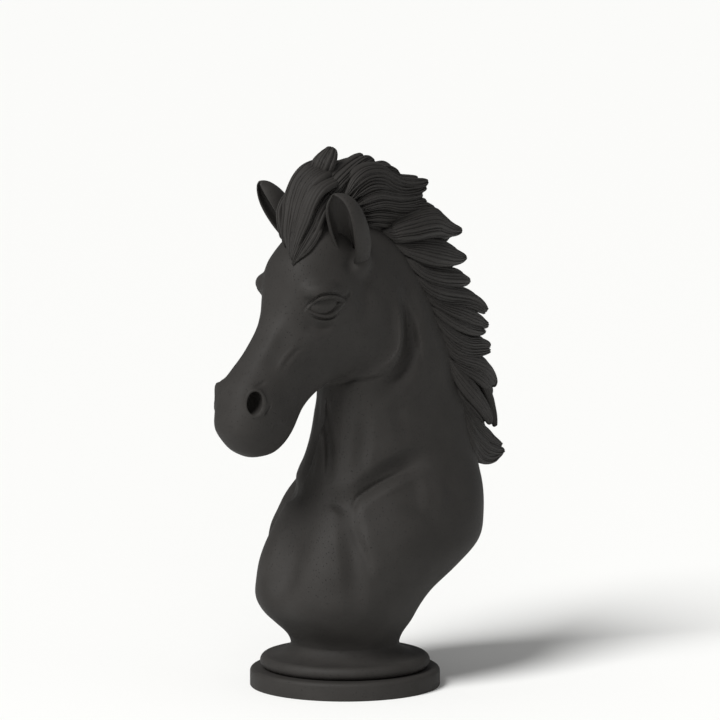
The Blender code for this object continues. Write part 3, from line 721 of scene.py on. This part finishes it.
hair = {
    "seed": 11,
    "stations": 40,
    # points round a lock's outer face and its inner face, and the same for the locks underneath
    "around": (44, 10),
    "underStations": 28,
    "underAround": (26, 6),
    # locks of this many strands or more have one underneath: how far in, and how much wider
    "underLeast": 4,
    "underSunk": 6.5,
    "underWider": 1.35,
    # strands: their grooves' depth and its spread, their heights' and widths' spread, how far they drift
    # across and how round they are, and the share of the lock's width where grooves are at full depth
    "strandDepth": 1.95,
    "strandDepths": (0.4, 1.4),
    "strandUneven": (-0.5, 0.4),
    "strandWidths": (0.55, 1.5),
    "strandDrift": 0.07,
    "strandRound": 0.8,
    "strandFull": 0.6,
    # a lock's thickness: a least one, a share of its half width, and less where it is slender
    "thinnest": 1.8,
    "fullness": 0.42,
    "slender": 3.0,
    "slenderShare": 0.4,
    "innerFull": 0.7,
    # how evenly the points of its outer face are spread
    "even": 0.6,
    # its size at the root, the share of its length that it grows over, and the share that it closes over
    "rootShare": 0.5,
    "rootGrows": 0.12,
    "tipCloses": 0.05,
    "tipLeast": 0.04,
    # its lower edge's tilt in degrees, how far it lies over the top line, its root's depth and its gap
    "tilt": 17.0,
    "lies": 0.15,
    "rootSunk": 2.0,
    "clears": 1.5,
    # what makes the right side differ
    "wanderSeed": 3,
    "wanderY": (-1, 0.2),
    "wanderZ": (-1, 0.1),
    "rightWander": 8.0,
    "coreSides": 40,
    "coreStations": 90,
    "coreFull": 0.6,
    # the core in the middle plane: root and edge as y and z, and its half thickness at each
    "core": [
        (-34, 466, -52, 496, 20, 18),
        (-26, 462, -40, 508, 22, 18),
        (-12, 460, -14, 508, 24, 16),
        (8, 450, 24, 492, 24, 14),
        (30, 436, 60, 468, 26, 13),
        (52, 418, 90, 442, 28, 12),
        (72, 394, 120, 414, 29, 12),
        (92, 360, 145, 377, 29, 12),
        (112, 322, 163, 331, 29, 12),
        (128, 285, 174, 284, 29, 12),
        (138, 255, 179, 246, 29, 11),
        (144, 234, 182, 225, 25, 10),
        (150, 222, 174, 215, 17, 7),
    ],
    # locks of the side from the top down: how many strands, then places in the quarter view, each with
    # its distance off the middle plane and the lock's half width there, from root to tip
    "locks": [
        (5, [(330, 195, 17, 7), (340, 183, 17, 8.5), (350, 173.5, 13, 8), (360, 166, 8, 7.5),
            (368, 161.5, 4, 6), (373, 162.5, 2, 3)]),
        (5, [(344, 197, 21, 5), (355, 183, 21, 8), (366, 175, 17, 8.5), (378, 173.5, 12, 7.5),
            (388, 171.5, 8, 7), (395, 173, 5, 5), (398, 176, 3, 2.5)]),
        (6, [(345, 198, 24, 4), (355, 185, 25, 7), (367, 176.5, 23, 8.5), (381, 175, 19, 8.5),
            (391, 180, 16, 8), (402, 184, 12, 7), (414, 184.5, 8, 6.5), (423, 183, 5, 5),
            (427.5, 182, 4, 2.5)]),
        (5, [(350, 202, 26, 3.5), (359, 192, 27, 6), (370, 185, 26, 7.5), (382, 185, 23, 7.5),
            (392, 190.5, 20, 7), (403, 193, 16, 6.5), (414, 191.5, 11, 6), (422, 189, 7, 4),
            (426, 188, 6, 2.5)]),
        (5, [(356, 206, 27, 4), (367, 198.5, 28, 6), (379, 195, 27, 6.5), (391, 197, 24, 6),
            (404, 198.5, 19, 5.5), (416, 196.5, 13, 4.5), (422, 195, 10, 2.5)]),
        (4, [(360, 210, 28, 3), (371, 204.5, 29, 4.5), (384, 202, 28, 4.5), (398, 204, 24, 4.5),
            (411, 203, 19, 4.5), (420, 201, 14, 3.5), (426, 202, 12, 2.5)]),
        (4, [(361, 213, 28, 2.5), (372, 208.5, 28, 3.5), (385, 206.5, 27, 4), (399, 208.5, 24, 4.5),
            (412, 208, 19, 5), (423, 206, 14, 5), (431, 208, 10, 3.5), (434, 210, 9, 2)]),
        (3, [(363, 216, 23, 2.5), (375, 213, 24, 3.5), (388, 213.5, 24, 3.5), (401, 215, 22, 4),
            (414, 213, 18, 4), (426, 211, 13, 3)]),
        (3, [(364, 220.5, 22, 2.5), (376, 218.5, 23, 3.2), (388, 219.5, 23, 3.2), (402, 218, 21, 3.5),
            (414, 214, 17, 3)]),
        (3, [(366, 225.5, 20, 2.2), (376, 224, 22, 2.8), (387, 225.5, 22, 3), (399, 222, 21, 3),
            (410, 218, 18, 2.5)]),
        (7, [(380, 232, 11, 3), (390, 233.5, 24, 7), (400, 232, 30, 10), (413, 229, 29, 12),
            (425, 225.5, 26, 12.5), (436, 224, 21, 12.5), (445, 227.5, 16, 10), (453, 230, 11, 7),
            (458.5, 230.5, 8, 4.5), (461, 230.5, 7, 2.5)]),
        (7, [(394, 245, 20, 3), (406, 249.5, 29, 7), (418, 252, 30, 10.5), (430, 254, 28, 12.5),
            (442, 255, 23, 12.5), (452, 256.5, 17, 10), (460, 257.5, 11, 6.5), (465.5, 257.5, 8, 3)]),
        (5, [(404, 256.5, 23, 2.5), (414, 266, 32, 5), (425, 273.5, 32, 7), (438, 277.5, 29, 8.5),
            (450, 279, 23, 9), (460, 279.5, 16, 8), (466, 280.5, 11, 5.5), (468.7, 281.5, 9, 3)]),
        (5, [(413, 274, 26, 2.5), (424, 285.5, 33, 5.5), (436, 291.5, 33, 8), (449, 295, 29, 8.5),
            (462, 297.5, 22, 8.5), (472, 300.5, 16, 8), (481, 305.5, 10, 6.5), (487, 310.5, 7, 3)]),
        (4, [(421, 290, 29, 2.5), (432, 299.5, 34, 4), (445, 303.5, 33, 4.5), (458, 303.5, 28, 4.5),
            (470, 305, 21, 4.5), (480, 309.5, 14, 4), (485, 312.5, 10, 2.5)]),
        (5, [(426, 299, 31, 2.5), (437, 305, 35, 4), (448, 310, 35, 5.5), (458, 313, 32, 7.5),
            (468, 316.5, 25, 8.5), (477, 320, 17, 7.5), (484, 324, 11, 5), (487.5, 325.5, 8, 2.5)]),
        (4, [(430, 306, 31, 2.5), (440, 314.5, 36, 5), (450, 321.5, 36, 6), (461, 326.5, 33, 6.5),
            (471, 330, 26, 6), (480, 331.5, 18, 4.5), (485, 331, 14, 2.5)]),
        (5, [(432, 314, 31, 2.5), (441, 325, 37, 5), (450, 333.5, 38, 6.5), (460, 340, 35, 7),
            (470, 343.5, 29, 7), (480, 343.5, 20, 6.5), (487, 344.5, 12, 4.5), (490, 346, 9, 2.5)]),
        (5, [(438, 328, 33, 2.5), (447, 341, 37, 5), (457, 349, 38, 6), (468, 352.5, 33, 6),
            (478, 352, 25, 5.5), (486, 351, 16, 4), (489.5, 351, 12, 2.5)]),
        (5, [(443, 342, 35, 2.5), (452, 354, 38, 5.5), (463, 359.5, 38, 6.5), (474, 362.5, 32, 7.5),
            (484, 368, 24, 9), (490.5, 375.5, 15, 8), (494, 382, 10, 5), (492.5, 387.5, 9, 2.5)]),
        (4, [(450, 361, 37, 3), (461, 368, 40, 5.5), (473, 374, 36, 7), (483, 381.5, 29, 7.5),
            (489, 389, 22, 5.5), (491, 394, 19, 3)]),
        (4, [(474, 370, 30, 4), (483, 384, 28, 5.5), (489, 397, 24, 5.5), (492, 408, 21, 5),
            (494, 418, 18, 4.5), (495, 427, 15, 2.5)]),
        (6, [(447, 357, 36, 3.5), (454, 371, 41, 7), (462, 382, 43, 9.5), (470, 391.5, 43, 10.5),
            (478, 401, 39, 10), (485, 411, 33, 8.5), (489, 419, 28, 6), (490, 424, 26, 3)]),
        (3, [(455, 387, 36, 2.2), (461, 397, 37, 3), (467, 408, 35, 3.2), (472, 419, 32, 2.5)]),
        (3, [(458, 398, 37, 2.2), (464, 409, 37, 3), (470, 420, 34, 3), (475, 430, 31, 2.2)]),
        (6, [(462, 400, 36, 3), (468, 412, 36, 6), (475, 424, 32, 8), (483, 434, 25, 8.5),
            (491, 440.5, 18, 8), (497, 443.5, 13, 5.5), (501.5, 445, 10, 2.5)]),
        (5, [(463, 410, 38, 3), (469, 426, 39, 6), (476, 438, 36, 7.5), (485, 446.5, 28, 7.5),
            (494, 450, 19, 6.5), (500, 451, 13, 4.5), (504.5, 450.5, 10, 2)]),
        (4, [(465, 421, 39, 3), (470.5, 437, 40, 5.5), (477, 449, 37, 6.5), (485, 456.5, 30, 6),
            (493, 457.5, 22, 5), (500, 454, 15, 3.5), (503, 451.5, 12, 2)]),
        (3, [(467, 431, 40, 2.5), (473, 448, 40, 4), (479.5, 458, 36, 5), (487, 461, 30, 4),
            (495, 459.5, 23, 3), (500, 455.5, 18, 1.8)]),
    ],
    "tuftLies": 0.6,
    "tuft": (6, [(308, 198, -16, 3), (315, 181, -6, 9), (323, 166.5, 2, 12), (329.5, 155.5, 2, 9),
        (332, 148.5, 1, 4.5)]),
    # the forelock, from the crown down to the forehead, from its far side to its near one
    "forelockLies": -0.8,
    "forelock": [
        (2, [(303, 174, -24, 1), (297, 183, -20, 3.5), (289.5, 193, -22, 3.5), (283, 202, -22, 3.2),
            (279.2, 213, -20, 3), (280, 226, -16, 3), (282, 240, -12, 2)]),
        (5, [(336, 158, -30, 1), (322, 163, -16, 5), (309, 169, -11, 7), (300, 178, -15, 7.5),
            (293, 190, -15, 6.5), (288.5, 202, -13, 5.5), (287, 218, -10, 5), (285.5, 233, -8, 4.5),
            (286, 248, -5, 2.5)]),
        (5, [(344, 160, -28, 1), (330, 166, -10, 5), (315, 172, -3, 10), (302, 183.5, -6, 9.5),
            (295, 199, -6, 8), (291.5, 215, -4, 7), (289.5, 232, -2, 6), (289.5, 252, 0, 2.5)]),
        (5, [(348, 166, -20, 1), (335, 171, -2, 5), (320, 177, 6, 10), (308, 187, 4, 9.5), (301, 202, 2, 8),
            (296.5, 218, 2, 7.5), (292.5, 237, 2, 6), (291, 258, 3, 2.5)]),
        (3, [(325, 214, 16, 1), (320.5, 229, 20, 3.2), (315, 241, 18, 3.2), (308, 251, 15, 2.8),
            (300, 259, 12, 1.8)]),
        (3, [(333, 198, 12, 1), (325, 211, 20, 4), (319.5, 223, 20, 4.5), (315, 234, 18, 4.5),
            (309, 245, 15, 4), (302, 255, 12, 3), (295, 263, 10, 1.8)]),
        (4, [(337, 187, 6, 1), (325, 201, 17, 5), (318, 214, 17, 5.5), (313, 226, 15, 5.5), (307, 238, 13, 5),
            (300, 251, 11, 4), (293, 266, 9, 2)]),
        (6, [(354, 176, -8, 1), (342, 180, 7, 5), (329, 185, 15, 9), (318, 192, 15, 10), (310, 204, 13, 9.5),
            (304, 220, 11, 8.5), (298, 237, 9, 6.5), (292, 261, 7, 2.5)]),
    ],
    # locks along the crest: how many, their strands, the steps between two of the core's rows, the row
    # that they start from and how many rows each runs along
    "crestLies": 1.0,
    "crestLocks": 19,
    "crestStrands": 5,
    "crestSteps": 40,
    "crestFirst": 0.6,
    "crestRun": 1.5,
    # half width and its swell along the lock, how far a tip stands off and strays aside, and how both grow
    "crestHalf": 12.0,
    "crestSwell": (0.6, 1.0, 1.0, 0.7, 0.2),
    "crestStands": 10.0,
    "crestLift": (1.4, -0.4),
    "crestStray": 8.0,
    "crestSplay": (1.3, -0.4),
}
strandDice = random.Random(hair["seed"])


def roundEnds(t):
    # a lock's section swells quickly from its root and closes round at its tip
    grow = min(1.0, hair["rootShare"] + (1 - hair["rootShare"]) * t / hair["rootGrows"])
    close = max(0.0, (t - 1 + hair["tipCloses"]) / hair["tipCloses"])
    return grow * math.sqrt(max(hair["tipLeast"], 1 - close * close))


def addLock(strands, places, side=1, lies=0.0, tilt=0.0, stations=hair["stations"], around=hair["around"]):
    # a lock through its places, flat against the horse's side where lies is 0 and over its top line
    # where lies is 1 or -1, with its lower edge tilted out
    outer, inner = around
    rows = smoothRows(places, stations) * np.array((side, 1, 1, 1))
    centres = rows[:, :3]
    outs = []
    for i in range(stations):
        heading = unitOf(centres[min(i + 1, stations - 1)] - centres[max(i - 1, 0)])
        out = (1 - abs(lies)) * np.array((side, 0, 0)) + lies * np.array((0, -heading[2], heading[1]))
        out = squareTo(heading, out)
        lean = math.radians(tilt) * side * max(0.0, heading[1]) ** 2
        outs.append(out * math.cos(lean) - np.cross(heading, out) * math.sin(lean))
    widest = rows[:, 3].max()
    depths = [strandDice.uniform(*hair["strandDepths"]) for _ in range(strands + 1)]
    uneven = [strandDice.uniform(*hair["strandUneven"]) for _ in range(strands + 1)]
    drift = strandDice.uniform(-hair["strandDrift"], hair["strandDrift"])
    bounds = np.cumsum([0.0] + [strandDice.uniform(*hair["strandWidths"]) for _ in range(strands)])
    bounds /= bounds[-1]
    # places across the section, from one edge over the outer face to the other edge and back inside
    even = hair["even"]
    spread = [even * s + (1 - even) * math.sin(math.pi / 2 * s) for s in np.linspace(-1, 1, outer)]
    face = [(a, math.sqrt(max(0.0, 1 - a * a))) for a in spread]
    inwards = np.linspace(1, -1, inner + 2)[1:-1]
    back = [(a, -hair["innerFull"] * math.sqrt(max(0.0, 1 - a * a))) for a in inwards]

    def section(i):
        t = i / (stations - 1)
        half = rows[i, 3] * roundEnds(t)
        thick = min(half, hair["thinnest"] + half * hair["fullness"])
        thick *= hair["slenderShare"] + (1 - hair["slenderShare"]) * min(1.0, half / hair["slender"])
        ring = []
        for a, b in face + back:
            share = min(max((a + 1) / 2 + drift * math.sin(2 * math.pi * t) * max(b, 0), 0), 0.9999)
            which = int(np.searchsorted(bounds, share, side="right")) - 1
            inStrand = (share - bounds[which]) / (bounds[which + 1] - bounds[which])
            depth = depths[which] * hair["strandDepth"] * min(1.0, half / (hair["strandFull"] * widest))
            ridge = math.sin(math.pi * inStrand) ** hair["strandRound"] - 1 + uneven[which]
            ring.append((half * a, thick * b + depth * ridge * max(b, 0) ** 0.5))
        return ring

    return sweepSection("lock", centres, outs, section)


def coreRing(row):
    rootY, rootZ, edgeY, edgeZ, rootHalf, edgeHalf = row

    def place(turn, out):
        half = rootHalf + (edgeHalf - rootHalf) * out
        across = half * roundSection(turn, hair["coreFull"])
        return (across, rootY + (edgeY - rootY) * out, rootZ + (edgeZ - rootZ) * out)

    return ovalRing(hair["coreSides"], place)


def addCrest():
    # locks lying one over the next down the mane's edge, each from the core's edge to clear of it
    made = []
    last = len(hair["core"]) - 1
    steps = hair["crestSteps"]
    edge = [np.array((0, row[2], row[3])) for row in smoothRows(hair["core"], last * steps + 1)]
    room = last - hair["crestFirst"] - hair["crestRun"]
    for i in range(hair["crestLocks"]):
        start = int(steps * (hair["crestFirst"] + i * room / (hair["crestLocks"] - 1)))
        finish = start + int(steps * hair["crestRun"])
        run = edge[finish] - edge[start]
        away = np.array((0, -run[2], run[1])) / np.linalg.norm(run) * hair["crestStands"]
        aside = np.array((hair["crestStray"] * (-1) ** i, 0, 0))
        places = []
        for t, swell in zip((0.0, 0.25, 0.5, 0.75, 1.0), hair["crestSwell"]):
            lift, splay = (grows * t + least for grows, least in (hair["crestLift"], hair["crestSplay"]))
            spot = edge[start + int(t * (finish - start))] + away * lift + aside * splay
            places.append((*spot, hair["crestHalf"] * swell))
        made.append(addLock(hair["crestStrands"], places, lies=hair["crestLies"]))
    return made


def clearOf(obj, across, down, x, sunk):
    # x as given, or as much as the surface has at this place in the quarter view, less how far it is sunk
    hit, spot, _ = showsAt(obj, across, down)
    return max(x, spot[0] - sunk) if hit else x


def sideLocks(side, restlessness=0.0):
    # the locks of one side, each over a wider one that fills in behind it; a little wander makes the
    # sides differ
    made = []
    wander = random.Random(hair["wanderSeed"])
    for strands, seen in hair["locks"]:
        shift = (wander.uniform(*hair["wanderY"]), wander.uniform(*hair["wanderZ"]))
        places = []
        for i, (across, down, x, half) in enumerate(seen):
            share = restlessness * i / (len(seen) - 1)
            x = clearOf(knightBody, across, down, x, hair["rootSunk"] if i < 2 else -hair["clears"])
            px, py, pz = fromQuarter(across, down, x)
            places.append((px, py + shift[0] * share, pz + shift[1] * share, half))
        made.append(addLock(strands, places, side, hair["lies"], hair["tilt"]))
        if strands >= hair["underLeast"]:
            sunk = [(x - hair["underSunk"], y, z, half * hair["underWider"]) for x, y, z, half in places[:-1]]
            under = hair["underStations"], hair["underAround"]
            made.append(addLock(strands, sunk, side, hair["lies"], 0.0, *under))
    return made


def seenPlaces(seen, clears=None):
    # places in the quarter view as carving points, all but the first clear of the surface they lie on
    places = []
    for i, (across, down, x, half) in enumerate(seen):
        if clears is not None and i:
            x = clearOf(knightBody, across, down, x, -clears)
        places.append((*fromQuarter(across, down, x), half))
    return places


maneLeft = joinPieces("knight_mane_left", sideLocks(1))
maneRight = joinPieces("knight_mane_right", sideLocks(-1, hair["rightWander"]))
core = wrapSkin("core", [coreRing(row) for row in smoothRows(hair["core"], hair["coreStations"])])
tuft = addLock(hair["tuft"][0], seenPlaces(hair["tuft"][1]), lies=hair["tuftLies"])
maneCrest = joinPieces("knight_crest", [core, tuft, *addCrest()])
fronts = [
    addLock(strands, seenPlaces(seen, hair["clears"]), lies=hair["forelockLies"])
    for strands, seen in hair["forelock"]
]
forelock = joinPieces("knight_forelock", fronts)
print("locks laid")

# Foot, turned

foot = {
    "radius": 0.114,
    "disc": 0.022,
    "rounding": 0.005,
    "edge": 0.0012,
    "rollStepsIn": 0.012,
    "roll": 0.016,
    "rollTurn": 80,
    "hollow": 0.016,
    "waist": 54 * carving["unit"],
    # the foot's top ends inside the bust: how far in from the waist, and how far below the hollow's top
    "topIn": 0.006,
    "topSunk": 0.002,
    "steps": 128,
    "arcSteps": 10,
    "sharpFrom": 35,
}


def arc(centreR, centreZ, radius, start, end):
    turns = np.radians(np.linspace(start, end, foot["arcSteps"] + 1))
    return [(centreR + radius * math.cos(a), centreZ + radius * math.sin(a)) for a in turns]


def turnedFoot():
    # a disc with a rounded rim, a roll on it, and a hollow that sweeps up into the bust's waist
    rollHalf = foot["roll"] / 2
    sweepOut = foot["radius"] - foot["rollStepsIn"] - rollHalf
    top = foot["disc"] + foot["roll"] + foot["hollow"]
    profile = [(foot["waist"] - foot["topIn"], top - foot["topSunk"])]
    for i in range(foot["arcSteps"] + 1):
        turn = math.pi / 2 * i / foot["arcSteps"]
        out = (1 - math.cos(turn)) * (sweepOut - foot["waist"])
        profile.append((foot["waist"] + out, top - math.sin(turn) * foot["hollow"]))
    profile += arc(sweepOut, foot["disc"] + rollHalf, rollHalf, foot["rollTurn"], -foot["rollTurn"])
    profile.append((sweepOut, foot["disc"]))
    rounding = foot["rounding"]
    profile += arc(foot["radius"] - rounding, foot["disc"] - rounding, rounding, 90, 0)
    profile += arc(foot["radius"] - foot["edge"], foot["edge"], foot["edge"], 0, -90)
    turns = [2 * math.pi * i / foot["steps"] for i in range(foot["steps"])]
    rings = [[(r * math.cos(a), r * math.sin(a), z) for a in turns] for r, z in profile]
    return wrapSkin("knight_foot", toCarving(rings))


knightFoot = turnedFoot()
print("foot turned")

# Matt black cast polyurethane resin, poured in one piece: a dull, slightly dusty skin with a soft sheen
# and the small pinholes that trapped air leaves, bumped in and darkened with painted shade in their hollows


def hexColour(code):
    levels = [int(code[i : i + 2], 16) / 255 for i in (0, 2, 4)]
    return [v / 12.92 if v <= 0.04045 else ((v + 0.055) / 1.055) ** 2.4 for v in levels] + [1.0]


def perMetre(millimetres):
    return 1000 / millimetres


def addNode(tree, kind, links=None, **settings):
    node = tree.nodes.new(kind)
    for key, value in settings.items():
        if hasattr(node, key):
            setattr(node, key, value)
        else:
            node.inputs[key.replace("_", " ")].default_value = value
    for socket, source in (links or {}).items():
        tree.links.new(source, node.inputs[socket])
    return node


resin = {
    "base": "262422",
    "dusty": "343230",
    # painted shade: the darker colour put inside each pinhole's hollow
    "pinholePaintedShade": "191817",
    "roughness": (0.58, 0.78),
    "ior": 1.4,
    "specular": 0.3,
    # sizes in mm: the patches of dust, the grain, and how far apart the pinholes are
    "mottle": 38.46,
    "mottleDetail": 5.0,
    "grain": 1.1111,
    "grainDetail": 3.0,
    "pinholes": 3.846,
    # a pinhole's edge as shares of that distance, which makes it about 1 mm wide
    "pinholeEdge": (0.08, 0.17),
    # bump: strength, and depth in metres
    "grainBump": (0.25, 0.0006),
    "pinholeBump": (0.7, 0.0008),
}


def castResin():
    material = bpy.data.materials.new("cast_polyurethane_resin_matt_black")
    material.use_nodes = True
    tree = material.node_tree
    shader = tree.nodes["Principled BSDF"]
    where = {"Vector": addNode(tree, "ShaderNodeTexCoord").outputs["Object"]}
    scale = perMetre(resin["mottle"])
    mottle = addNode(tree, "ShaderNodeTexNoise", where, Scale=scale, Detail=resin["mottleDetail"])
    colour = addNode(tree, "ShaderNodeMix", {"Factor": mottle.outputs["Fac"]}, data_type="RGBA")
    colour.inputs[6].default_value = hexColour(resin["base"])
    colour.inputs[7].default_value = hexColour(resin["dusty"])
    scale = perMetre(resin["pinholes"])
    cells = addNode(tree, "ShaderNodeTexVoronoi", where, Scale=scale, Randomness=1.0)
    edge, clear = resin["pinholeEdge"]
    hole = addNode(
        tree, "ShaderNodeMapRange", {"Value": cells.outputs["Distance"]}, From_Min=edge, From_Max=clear,
        To_Min=1.0, To_Max=0.0,
    )
    # painted shade: each pinhole is darkened in its colour as well as bumped in as a real pit
    pinholesWithPaintedShade = addNode(tree, "ShaderNodeMix", {"Factor": hole.outputs[0]}, data_type="RGBA")
    tree.links.new(colour.outputs[2], pinholesWithPaintedShade.inputs[6])
    pinholesWithPaintedShade.inputs[7].default_value = hexColour(resin["pinholePaintedShade"])
    tree.links.new(pinholesWithPaintedShade.outputs[2], shader.inputs["Base Color"])
    scale = perMetre(resin["grain"])
    grain = addNode(tree, "ShaderNodeTexNoise", where, Scale=scale, Detail=resin["grainDetail"])
    least, most = resin["roughness"]
    rough = addNode(tree, "ShaderNodeMapRange", {"Value": grain.outputs["Fac"]}, To_Min=least, To_Max=most)
    tree.links.new(rough.outputs[0], shader.inputs["Roughness"])
    bump = dict(zip(("Strength", "Distance"), resin["grainBump"]))
    fine = addNode(tree, "ShaderNodeBump", {"Height": grain.outputs["Fac"]}, **bump)
    bump = dict(zip(("Strength", "Distance"), resin["pinholeBump"]), invert=True)
    pits = addNode(tree, "ShaderNodeBump", {"Height": hole.outputs[0], "Normal": fine.outputs[0]}, **bump)
    tree.links.new(pits.outputs[0], shader.inputs["Normal"])
    shader.inputs["IOR"].default_value = resin["ior"]
    shader.inputs["Specular IOR Level"].default_value = resin["specular"]
    return material


resinMaterial = castResin()
pieces = [knightBody, knightFoot, knightEyes, knightEars, maneLeft, maneRight, maneCrest, forelock]
for piece in pieces:
    makeActive(piece)
    piece.data.materials.clear()
    piece.data.materials.append(resinMaterial)
    if piece is knightFoot:
        bpy.ops.object.shade_smooth_by_angle(angle=math.radians(foot["sharpFrom"]))
    else:
        bpy.ops.object.shade_smooth()
    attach(piece, "root")
    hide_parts("chess_knight")
    piece.data.calc_loop_triangles()
    print(piece.name, len(piece.data.loop_triangles), "triangles")

# Floor, light and camera

studio = {
    "floor": 16.0,
    "floorColour": "F8F8F6",
    "floorRoughness": 0.9,
    "world": 0.25,
    # the soft main light is far off: where it comes from, its strength and its width in degrees
    "mainFrom": (0.1, -1.0, 1.05),
    "mainStrength": 3.5,
    "mainWidth": 26.0,
    # the fill light: its place, width and watts, and where it aims
    "fillFrom": (2.2, -2.0, 1.6),
    "fillWidth": 1.4,
    "fillWatts": 9.0,
    "aim": (0.0, 0.0, 0.36),
}
# the camera stands in the quarter view's direction: how far off, and how far right and up it aims
camera = {
    "lens": 1200.0,
    "sensor": 36.0,
    "distance": 28.8,
    "right": 0.018,
    "up": 0.3888,
    "clips": (1.0, 80.0),
}

deselectAll()
bpy.ops.mesh.primitive_plane_add(size=studio["floor"], location=(0, 0, 0))
floor = bpy.context.object
floor.name = "floor"
floorMaterial = bpy.data.materials.new("floor_paper")
floorMaterial.use_nodes = True
floorShader = floorMaterial.node_tree.nodes["Principled BSDF"]
floorShader.inputs["Base Color"].default_value = hexColour(studio["floorColour"])
floorShader.inputs["Roughness"].default_value = studio["floorRoughness"]
floor.data.materials.append(floorMaterial)

world = bpy.data.worlds.new("studio")
world.use_nodes = True
world.node_tree.nodes["Background"].inputs["Color"].default_value = (1.0, 1.0, 1.0, 1.0)
world.node_tree.nodes["Background"].inputs["Strength"].default_value = studio["world"]
bpy.context.scene.world = world
bpy.context.scene.view_settings.view_transform = "Standard"

bpy.ops.object.light_add(type="AREA", location=studio["fillFrom"])
fill = bpy.context.object
fill.name = "fill"
fill.data.size = studio["fillWidth"]
fill.data.energy = studio["fillWatts"]
fillAims = Vector(studio["aim"]) - Vector(studio["fillFrom"])
fill.rotation_euler = fillAims.to_track_quat("-Z", "Y").to_euler()

bpy.ops.object.light_add(type="SUN", location=studio["mainFrom"])
mainLight = bpy.context.object
mainLight.name = "main"
mainLight.data.energy = studio["mainStrength"]
mainLight.data.angle = math.radians(studio["mainWidth"])
mainLight.rotation_euler = Vector(studio["mainFrom"]).to_track_quat("Z", "Y").to_euler()

right = Vector((math.cos(quarterTurn), math.sin(quarterTurn), 0))
target = right * camera["right"] + towardsViewer.cross(right) * camera["up"]
bpy.ops.object.camera_add(location=target + towardsViewer * camera["distance"])
eye = bpy.context.object
eye.rotation_euler = (-towardsViewer).to_track_quat("-Z", "Y").to_euler()
eye.data.lens = camera["lens"]
eye.data.sensor_width = camera["sensor"]
eye.data.clip_start, eye.data.clip_end = camera["clips"]
bpy.context.scene.camera = eye
print("stage set")
